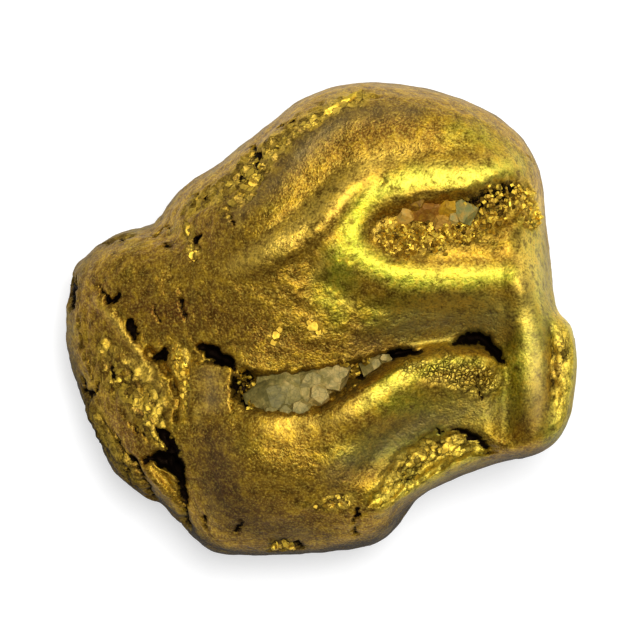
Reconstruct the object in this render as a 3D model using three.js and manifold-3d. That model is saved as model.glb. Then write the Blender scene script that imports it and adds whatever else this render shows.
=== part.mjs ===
import * as THREE from "three";
import { ConvexGeometry } from "three/addons/geometries/ConvexGeometry.js";
import { mergeVertices } from "three/addons/utils/BufferGeometryUtils.js";
import Module from "manifold-3d";

// A water-worn gold nugget with quartz left in its fold and its pocket, lying on its flatter side.
// Millimetres, +Z up, the side with the fold on top.
const crownHeight = 5.4; // rim to the top of the dome
const crownRound = 3.2; // 2 is an ellipse, more is a fuller shoulder
const bellyDepth = 5.0; // rim to where the underside would round out
const bellyRound = 2.0;
const wornFlat = 4.6; // rim to the flat the nugget lies on
const leanRight = 0.055; // the dome is higher to the right and to the back
const leanBack = 0.03;
const ridgeWall = 2.6; // how a soft path rounds off: 1 is peaked, 3 is broad
const dipWall = 1.6;
const facets = 16; // divisions of each face of the starting ball
const topShare = 0.66; // under 1 draws more of the facets up onto the top
const pathSteps = 10; // dabs laid between two points of a soft path
const cutRound = 12; // sides of a cut's cross-section
const cutLong = 4; // rings of a cut to each point of its path
const cutBlunt = 6; // how square a cut's ends are: 2 is round
const cutAbove = 1.2; // height of a cut above the face it opens through
const quartzGap = 0.08; // bare gap between quartz and gold

// The outline seen from above, counter-clockwise from the right end of the pocket.
const outline = [
  [8.85, 5.5], [8.3, 6.9], [7.2, 8.0], [5.9, 8.7], [4.45, 9.15], [3.05, 9.4], [1.7, 9.45], [0.3, 9.25],
  [-0.9, 8.7], [-1.95, 7.9], [-3.75, 6.5], [-5.5, 5.3], [-6.75, 3.85], [-8.0, 3.5], [-9.3, 2.75],
  [-10.0, 1.8], [-10.2, -0.7], [-9.5, -3.45], [-8.3, -6.05], [-7.25, -6.95], [-6.1, -7.75], [-5.05, -8.8],
  [-3.9, -9.4], [-1.0, -9.4], [1.6, -9.1], [2.75, -8.5], [3.3, -7.7], [4.55, -6.7], [6.9, -5.75],
  [8.6, -5.35], [9.7, -4.3], [10.2, -2.0], [10.0, -0.3], [9.45, 0.4], [9.25, 2.3], [9.0, 4.1],
];

// Height of the rim above its mean plane, every 45 degrees from +X.
const rimLift = [-0.8, 0.3, 0.5, -0.2, -0.7, -0.5, 0.2, 0.1];

// Where the shoulder is fuller still: degrees round from +X, narrowness, amount.
const squares = [
  [0, 1, 3.6], // the column
  [64, 2, 8.0], // the forehead
  [-13, 27, 75.0], // the flange
  [-52, 12, 7.0], // the edge below the torn hollow
];

// Soft ridges and dips that follow a path. A point is x, y, how far it reaches to the left of the way the
// path runs, how far to the right, and its height or depth.
const ridges = [
  [ // the worn collar round the pocket
    [7.7, 1.75, 0.8, 0.9, 0.25], [5.8, 1.65, 0.8, 1.1, 0.35], [4.2, 1.5, 0.8, 1.2, 0.4],
    [2.6, 1.7, 1.1, 1.2, 0.45], [1.3, 2.4, 1.5, 1.2, 0.4], [0.95, 3.5, 1.7, 1.3, 0.35],
    [1.5, 4.6, 1.6, 1.2, 0.3], [2.8, 5.0, 1.6, 1.0, 0.3], [4.4, 5.1, 1.6, 0.9, 0.3],
    [6.0, 5.25, 1.5, 0.9, 0.3], [7.6, 5.7, 1.2, 0.8, 0.2],
  ],
  [ // the ridge of the cheek
    [-3.7, 1.7, 0.8, 0.6, 0.1], [-2.3, 2.35, 0.9, 0.7, 0.26], [-0.8, 3.2, 1.0, 0.8, 0.32],
    [0.4, 4.35, 1.0, 0.8, 0.24], [1.6, 5.7, 1.0, 0.8, 0.1],
  ],
  [ // the lip under the fold
    [-2.4, -3.9, 0.6, 1.2, 0.08], [-0.8, -3.85, 0.7, 1.4, 0.12], [0.6, -3.5, 0.8, 1.6, 0.25],
    [2.0, -2.85, 0.9, 1.8, 0.5], [3.2, -2.05, 0.9, 1.7, 0.5], [4.4, -1.6, 0.8, 1.6, 0.4],
    [6.0, -1.5, 0.8, 1.5, 0.35],
  ],
  [ // the smooth column down the right side
    [7.7, 3.0, 1.0, 0.8, 0.1], [8.0, 1.6, 0.9, 0.9, 0.3], [8.25, 0.0, 0.8, 1.1, 0.28],
    [8.3, -2.0, 0.8, 1.1, 0.25], [8.35, -3.6, 0.8, 1.0, 0.2], [8.4, -4.6, 0.8, 1.0, 0.15],
  ],
  [ // the rim below the torn hollow
    [2.2, -7.45, 0.35, 0.4, 0.2], [3.2, -6.85, 0.4, 0.45, 0.4], [4.5, -6.05, 0.45, 0.5, 0.5],
    [5.8, -5.45, 0.4, 0.45, 0.35],
  ],
];
const dips = [
  [ // the long slope that rolls down into the fold
    [-1.2, -2.6, 2.4, 0.6, 0.35], [1.2, -2.1, 2.8, 0.6, 0.75], [3.6, -1.15, 2.4, 0.5, 1.1],
    [5.6, -0.85, 2.3, 0.5, 1.15], [6.9, -1.0, 1.7, 0.5, 0.8],
  ],
  [ // the trough below the lip
    [3.4, -4.0, 0.9, 0.9, 0.15], [2.6, -4.7, 1.0, 1.0, 0.3], [1.8, -5.8, 1.0, 1.0, 0.2],
  ],
  [ // the valley left of the column
    [7.2, -1.6, 0.5, 0.6, 0.15], [7.2, -3.0, 0.7, 0.8, 0.4], [7.3, -4.3, 0.8, 0.9, 0.55],
  ],
  [ // the groove between the column and the flange outside it
    [8.8, 0.3, 0.35, 0.3, 0.2], [8.95, -0.6, 0.4, 0.35, 0.45], [9.0, -2.0, 0.4, 0.35, 0.5],
    [8.95, -3.4, 0.4, 0.35, 0.4], [8.8, -4.4, 0.35, 0.4, 0.2],
  ],
  [ // the shallow neck behind the left knob
    [-6.9, 3.9, 1.5, 1.5, 0.6], [-6.2, 2.8, 1.3, 1.3, 0.2], [-5.6, 1.5, 0.9, 0.9, 0.05],
  ],
];

// Steep hollows cut into the face, with the same five numbers to a point.
const cutPaths = [
  [ // the fold across the middle, open over the quartz and closing to a slit
    [-3.3, -2.6, 0.4, 0.5, 0.9], [-2.6, -2.75, 0.75, 0.8, 1.2], [-1.2, -2.85, 0.85, 0.85, 1.4],
    [0.4, -2.55, 0.8, 0.8, 1.4], [1.2, -2.2, 0.55, 0.55, 1.3], [2.0, -1.75, 0.4, 0.4, 1.0],
    [2.9, -1.4, 0.2, 0.2, 0.7], [4.0, -1.25, 0.12, 0.12, 0.3],
  ],
  [ // the black hole over the tab
    [-4.9, -1.0, 0.2, 0.2, 0.4], [-4.3, -1.25, 0.34, 0.34, 1.0], [-3.5, -1.65, 0.2, 0.2, 0.6],
  ],
  [ // the black hole where the fold ends
    [5.2, -0.95, 0.15, 0.15, 0.3], [5.7, -0.72, 0.26, 0.26, 0.9], [6.3, -0.72, 0.34, 0.34, 1.2],
    [6.75, -1.15, 0.3, 0.3, 1.0], [7.1, -1.7, 0.15, 0.15, 0.4],
  ],
  [ // the leaf-shaped pocket
    [2.0, 3.45, 0.3, 0.3, 0.3], [2.8, 3.55, 0.9, 0.95, 0.8], [3.7, 3.7, 1.15, 1.35, 1.1],
    [4.8, 3.95, 1.15, 1.3, 1.2], [6.0, 4.25, 1.15, 1.2, 1.2], [7.0, 4.65, 1.0, 1.05, 1.1],
    [7.8, 4.95, 0.6, 0.6, 0.6],
  ],
  [ // the torn hollow above the lower right edge
    [2.1, -7.1, 0.25, 0.25, 0.3], [2.9, -6.4, 0.7, 0.65, 0.6], [3.7, -5.7, 0.95, 0.85, 0.8],
    [4.8, -5.05, 0.8, 0.75, 0.9], [5.8, -4.85, 0.55, 0.5, 0.8], [6.6, -5.1, 0.3, 0.25, 0.4],
  ],
  [ // the open crack between the left knob and the body
    [-6.8, -1.2, 0.25, 0.25, 0.4], [-6.3, -1.6, 0.24, 0.24, 0.5], [-5.6, -3.2, 0.13, 0.13, 0.5],
    [-6.0, -4.6, 0.32, 0.32, 0.9], [-5.75, -5.5, 0.42, 0.38, 1.1], [-5.5, -6.2, 0.22, 0.2, 0.8],
    [-5.4, -7.6, 0.12, 0.12, 0.6], [-5.3, -8.3, 0.13, 0.13, 0.5],
  ],
];

// Rounded rises: x, y, half-length, half-width, turn in degrees, rise.
const rises = [
  [5.6, 4.0, 4.2, 3.2, 8, 0.4], // the crown round the pocket
  [-1.3, 2.3, 3.0, 1.8, 28, 0.45], // the cheek
  [-3.2, 3.4, 2.2, 1.7, 30, 0.35], // the temple
  [-7.0, -1.2, 4.4, 3.8, 0, -1.2], // the fall to the left
  [-8.1, -2.6, 2.4, 1.4, -52, 0.35], // the plate on the left knob
  [-6.3, -6.5, 1.2, 0.5, -52, 0.4], // the sliver caught in the crack
  [-1.2, -5.8, 2.6, 2.2, 5, 0.45], // the jaw under the lip
  [-3.2, -4.6, 1.6, 1.2, 0, 0.3], // the left end of the lip
  [5.2, -2.6, 1.6, 0.9, 0, 0.15], // the rough plate on the lip
  [8.0, 1.5, 1.0, 0.9, 0, 0.3], // the right end of the collar
  [4.0, -5.1, 2.4, 1.3, 30, -0.8], // the fall to the torn hollow
  [8.6, -4.2, 1.4, 1.4, 0, 0.45], // the lower right corner
];

// Dents and lumps of the sides and the underside: azimuth, elevation and reach in degrees, depth.
const knocks = [
  [20, -28, 28, 0.7], [75, -32, 30, 0.6], [128, -24, 28, 0.8], [168, -40, 24, -0.4],
  [212, -24, 26, 0.9], [262, -32, 30, 0.6], [312, -24, 26, 0.8], [346, -42, 22, -0.5],
];

// Quartz as angular chunks, each the hull of its corners.
const foldQuartz = [
  [ // the wide piece at the left
    [-2.5, -2.4, 4.0], [-2.4, -3.5, 3.9], [-1.6, -2.0, 4.3], [-1.3, -3.7, 4.2], [-0.6, -1.9, 4.3],
    [-0.5, -3.7, 4.3], [-1.5, -2.8, 4.55], [-2.6, -2.9, 2.6], [-0.5, -2.8, 2.6],
  ],
  [ // the piece beside it
    [-0.9, -2.1, 4.2], [-0.8, -3.5, 4.2], [0.2, -1.8, 4.4], [0.5, -3.3, 4.3], [1.0, -1.7, 4.3],
    [1.0, -2.7, 4.2], [0.3, -2.6, 4.6], [-0.8, -2.8, 2.6], [1.1, -2.2, 2.7],
  ],
  [ // the vein running on to the right, low in the fold
    [0.6, -1.6, 3.9], [0.7, -2.6, 3.9], [2.6, -1.2, 4.0], [2.6, -1.8, 4.0], [0.8, -2.1, 2.8],
    [2.6, -1.5, 3.0],
  ],
  [ // the small chip at its end
    [1.8, -1.5, 4.3], [1.9, -2.1, 4.2], [2.5, -1.1, 4.4], [2.6, -1.7, 4.3], [2.2, -1.6, 4.5],
    [1.9, -1.8, 3.5], [2.6, -1.4, 3.5],
  ],
];
const pocketQuartz = [
  [ // the pale chip
    [3.1, 4.2, 5.7], [3.0, 3.7, 5.6], [3.7, 4.4, 5.8], [3.9, 3.7, 5.7], [3.5, 4.0, 6.0],
    [3.2, 4.0, 4.9], [3.9, 4.0, 4.9],
  ],
  [ // the sunk stained piece behind
    [3.6, 4.8, 5.5], [3.6, 3.9, 5.4], [4.7, 4.9, 5.5], [4.8, 3.8, 5.4], [3.8, 4.3, 4.7], [4.7, 4.3, 4.7],
  ],
  [ // the clear grain
    [4.6, 4.7, 5.8], [4.7, 3.9, 5.7], [5.4, 4.8, 5.8], [5.6, 4.0, 5.7], [5.0, 4.4, 6.1],
    [4.7, 4.3, 4.8], [5.5, 4.4, 4.8],
  ],
  [ // the chip in front
    [4.3, 4.0, 5.7], [4.5, 3.2, 5.5], [5.0, 4.1, 5.7], [5.0, 3.3, 5.5], [4.7, 3.6, 5.9],
    [4.5, 3.6, 4.9], [4.9, 3.6, 4.9],
  ],
];

const wasm = await Module();
wasm.setup();

// A smooth curve through points given as x, y, z.
function curveThrough(points, closed) {
  const corners = points.map(([x, y, z = 0]) => new THREE.Vector3(x, y, z));
  return new THREE.CatmullRomCurve3(corners, closed, "catmullrom", 0.5);
}

// The outline as angle and radius, in order of angle.
const rim = curveThrough(outline, true)
  .getPoints(outline.length * 12)
  .slice(1)
  .map((p) => ({ angle: Math.atan2(p.y, p.x), radius: Math.hypot(p.x, p.y) }))
  .sort((a, b) => a.angle - b.angle);

function rimRadius(angle) {
  const found = rim.findIndex((p) => p.angle > angle);
  const next = found < 0 ? rim[0] : rim[found];
  const last = found > 0 ? rim[found - 1] : rim[rim.length - 1];
  const turn = 2 * Math.PI;
  const span = (next.angle - last.angle + turn) % turn;
  const along = ((angle - last.angle + turn) % turn) / span;
  return THREE.MathUtils.lerp(last.radius, next.radius, along);
}

const rimWave = curveThrough(rimLift.map((lift) => [lift, 0]), true);

function rimHeight(angle) {
  const share = (angle / (2 * Math.PI) + 1) % 1;
  return rimWave.getPoint(share).x;
}

// A soft path as a run of round dabs, each with its own reach to either side.
function dabsAlong(points) {
  const way = curveThrough(points.map(([x, y]) => [x, y]), false);
  const size = curveThrough(points.map(([, , left, right, depth]) => [left, right, depth]), false);
  const count = (points.length - 1) * pathSteps;
  return Array.from({ length: count + 1 }, (_, i) => {
    const share = i / count;
    return { at: way.getPoint(share), heading: way.getTangent(share), size: size.getPoint(share) };
  });
}

const ridgeDabs = ridges.map(dabsAlong);
const dipDabs = dips.map(dabsAlong);

// How much a soft path lifts or lowers the face at x, y: the strongest of its dabs.
function softRelief(dabs, wall, x, y) {
  let strongest = 0;
  for (const { at, heading, size } of dabs) {
    const dx = x - at.x;
    const dy = y - at.y;
    const away = Math.hypot(dx, dy);
    const side = away > 0 ? (heading.x * dy - heading.y * dx) / away : 0;
    const reach = THREE.MathUtils.lerp(size.y, size.x, (1 + side) / 2);
    if (away < reach) {
      strongest = Math.max(strongest, size.z * (1 - (away / reach) ** wall) ** 2);
    }
  }
  return strongest;
}

function riseAt([atX, atY, length, width, turn, rise], x, y) {
  const angle = THREE.MathUtils.degToRad(turn);
  const dx = x - atX;
  const dy = y - atY;
  const along = (dx * Math.cos(angle) + dy * Math.sin(angle)) / length;
  const across = (dy * Math.cos(angle) - dx * Math.sin(angle)) / width;
  return rise * Math.exp(-along * along - across * across);
}

// The unit vector at an angle round +Z and an angle down from +Z.
function directionAt(round, fromTop) {
  const out = Math.sin(fromTop);
  return new THREE.Vector3(out * Math.cos(round), out * Math.sin(round), Math.cos(fromTop));
}

// How far the sides are pushed in towards the middle, seen from the middle in the given direction.
function knockAt(direction) {
  return knocks.reduce((total, [azimuth, elevation, reach, depth]) => {
    const fromTop = THREE.MathUtils.degToRad(90 - elevation);
    const centre = directionAt(THREE.MathUtils.degToRad(azimuth), fromTop);
    const away = THREE.MathUtils.radToDeg(direction.angleTo(centre)) / reach;
    return away < 1 ? total + depth * (1 - away * away) ** 2 : total;
  }, 0);
}

// How square the shoulder is at an angle round +Z.
function crownRoundAt(angle) {
  return squares.reduce((sum, [turn, narrow, amount]) => {
    const facing = Math.max(0, Math.cos(angle - THREE.MathUtils.degToRad(turn)));
    return sum + amount * facing ** narrow;
  }, crownRound);
}

// Height of the face over x, y; shoulder fades its features out towards the rim.
function faceHeight(x, y) {
  const angle = Math.atan2(y, x);
  const out = Math.min(Math.hypot(x, y) / rimRadius(angle), 1);
  const full = Math.sqrt(1 - out ** crownRoundAt(angle));
  const shoulder = Math.min(1, 2 * full);
  const dome = rimHeight(angle) * out * out + (crownHeight + leanRight * x + leanBack * y) * full;
  const ridged = ridgeDabs.reduce((sum, dabs) => sum + softRelief(dabs, ridgeWall, x, y), 0);
  const dipped = dipDabs.reduce((sum, dabs) => sum + softRelief(dabs, dipWall, x, y), 0);
  const risen = rises.reduce((sum, rise) => sum + riseAt(rise, x, y), 0);
  return dome + shoulder * (ridged - dipped + risen);
}

// The point of the nugget's skin that a direction of the starting ball is carried to.
function skinPoint(start) {
  const fromTop = 2 * Math.atan(topShare * Math.tan(Math.acos(THREE.MathUtils.clamp(start.z, -1, 1)) / 2));
  const angle = Math.atan2(start.y, start.x);
  const out = Math.sin(fromTop);
  const x = rimRadius(angle) * out * Math.cos(angle);
  const y = rimRadius(angle) * out * Math.sin(angle);
  const belly = rimHeight(angle) * out * out - bellyDepth * Math.sqrt(1 - Math.min(out, 1) ** bellyRound);
  const point = new THREE.Vector3(x, y, fromTop < Math.PI / 2 ? faceHeight(x, y) : belly);
  const direction = directionAt(angle, fromTop);
  point.addScaledVector(direction, -knockAt(direction));
  point.z = Math.max(point.z, -wornFlat);
  return point;
}

function bareShape(geometry) {
  geometry.deleteAttribute("normal");
  geometry.deleteAttribute("uv");
  return mergeVertices(geometry, 1e-5);
}

// The nugget's skin, moved outwards all over by the given amount.
function nuggetShape(grown) {
  const shape = bareShape(new THREE.IcosahedronGeometry(1, facets));
  const position = shape.attributes.position;
  const start = new THREE.Vector3();
  for (let i = 0; i < position.count; i++) {
    const point = skinPoint(start.fromBufferAttribute(position, i).normalize());
    position.setXYZ(i, point.x, point.y, point.z);
  }
  shape.computeVertexNormals();
  const normal = shape.attributes.normal;
  for (let i = 0; i < position.count; i++) {
    position.setXYZ(
      i,
      position.getX(i) + grown * normal.getX(i),
      position.getY(i) + grown * normal.getY(i),
      position.getZ(i) + grown * normal.getZ(i),
    );
  }
  return bareShape(shape);
}

function solidOf(shape) {
  const mesh = new wasm.Mesh({
    numProp: 3,
    vertProperties: shape.attributes.position.array,
    triVerts: new Uint32Array(shape.index.array),
  });
  return new wasm.Manifold(mesh);
}

// A ball drawn out along a path: rounded below to the path's depth, and above so that it opens through the
// face. Shrunk draws it in all round.
function cutShape(points, shrunk) {
  const way = curveThrough(points.map(([x, y]) => [x, y, faceHeight(x, y)]), false);
  const size = curveThrough(points.map(([, , left, right, depth]) => [left, right, depth]), false);
  const shape = bareShape(new THREE.SphereGeometry(1, cutRound, points.length * cutLong));
  const position = shape.attributes.position;
  for (let i = 0; i < position.count; i++) {
    const along = position.getY(i);
    const ring = new THREE.Vector2(position.getX(i), position.getZ(i)).normalize();
    const share = (1 + along) / 2;
    const blunt = Math.sqrt(1 - Math.min(Math.abs(along), 1) ** cutBlunt);
    const reach = size.getPoint(share);
    const heading = way.getTangent(share).setZ(0).normalize();
    const sideways = ring.x * blunt * ((ring.x > 0 ? reach.y : reach.x) - shrunk);
    const upwards = ring.y * blunt * ((ring.y > 0 ? cutAbove : reach.z) - shrunk);
    const at = way.getPoint(share);
    position.setXYZ(i, at.x + sideways * heading.y, at.y - sideways * heading.x, at.z + upwards);
  }
  return shape;
}

function nuggetSolid(grown) {
  const cuts = cutPaths.map((points) => solidOf(cutShape(points, grown)));
  return cuts.reduce((whole, cut) => whole.subtract(cut), solidOf(nuggetShape(grown)));
}

// Chunks joined into one piece and trimmed to the gold round them.
function quartzPiece(chunks, goldWithGap) {
  const joined = chunks
    .map((corners) => new ConvexGeometry(corners.map((corner) => new THREE.Vector3(...corner))))
    .map((hull) => solidOf(bareShape(hull)))
    .reduce((whole, chunk) => whole.add(chunk));
  const trimmed = joined.subtract(goldWithGap).decompose();
  return trimmed.reduce((largest, piece) => (piece.volume() > largest.volume() ? piece : largest));
}

function geometryOf(solid) {
  const mesh = solid.getMesh();
  const geometry = new THREE.BufferGeometry();
  geometry.setAttribute("position", new THREE.BufferAttribute(new Float32Array(mesh.vertProperties), 3));
  geometry.setIndex(new THREE.BufferAttribute(new Uint32Array(mesh.triVerts), 1));
  geometry.computeVertexNormals();
  return geometry;
}

const gold = new THREE.MeshStandardMaterial({ color: 0xb58f2c, roughness: 0.4, metalness: 1 });
const greyQuartz = new THREE.MeshStandardMaterial({ color: 0x9a967c, roughness: 0.25, metalness: 0 });
const stainedQuartz = new THREE.MeshStandardMaterial({ color: 0xc99a5c, roughness: 0.25, metalness: 0 });

const nugget = geometryOf(nuggetSolid(0));
const goldWithGap = nuggetSolid(quartzGap);
const pieces = [
  ["gold_nugget", nugget, gold],
  ["fold_quartz", geometryOf(quartzPiece(foldQuartz, goldWithGap)), greyQuartz],
  ["pocket_quartz", geometryOf(quartzPiece(pocketQuartz, goldWithGap)), stainedQuartz],
];

// The part stands on z = 0 with the origin under the middle of its outline.
nugget.computeBoundingBox();
const middle = nugget.boundingBox.getCenter(new THREE.Vector3());
const lowest = nugget.boundingBox.min.z;
const group = new THREE.Group();
for (const [name, geometry, material] of pieces) {
  geometry.translate(-middle.x, -middle.y, -lowest);
  const mesh = new THREE.Mesh(geometry, material);
  mesh.name = name;
  group.add(mesh);
}

export default group;
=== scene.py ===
import math
import random

import bmesh
import bpy
import numpy as np
from mathutils import Euler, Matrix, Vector, noise


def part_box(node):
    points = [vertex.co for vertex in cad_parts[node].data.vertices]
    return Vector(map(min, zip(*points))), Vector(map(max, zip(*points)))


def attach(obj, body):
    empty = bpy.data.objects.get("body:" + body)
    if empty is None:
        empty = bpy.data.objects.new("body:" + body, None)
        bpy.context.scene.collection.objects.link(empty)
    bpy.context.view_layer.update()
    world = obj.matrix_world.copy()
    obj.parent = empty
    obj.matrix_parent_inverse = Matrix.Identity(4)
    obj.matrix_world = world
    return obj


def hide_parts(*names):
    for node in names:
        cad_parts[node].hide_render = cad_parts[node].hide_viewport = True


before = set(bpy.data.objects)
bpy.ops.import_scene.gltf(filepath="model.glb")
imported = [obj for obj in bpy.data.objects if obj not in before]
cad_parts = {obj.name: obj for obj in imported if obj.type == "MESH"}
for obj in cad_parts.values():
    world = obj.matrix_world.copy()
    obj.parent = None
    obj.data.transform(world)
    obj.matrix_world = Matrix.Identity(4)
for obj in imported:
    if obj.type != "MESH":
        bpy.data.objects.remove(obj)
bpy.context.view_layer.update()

noise.seed_set(7)  # noise vectors start from the clock otherwise

mm = 0.001  # shapes below are in millimetres, Blender's in metres
perMetre = 1000.0  # turns a pattern's size in millimetres into a texture scale

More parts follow.
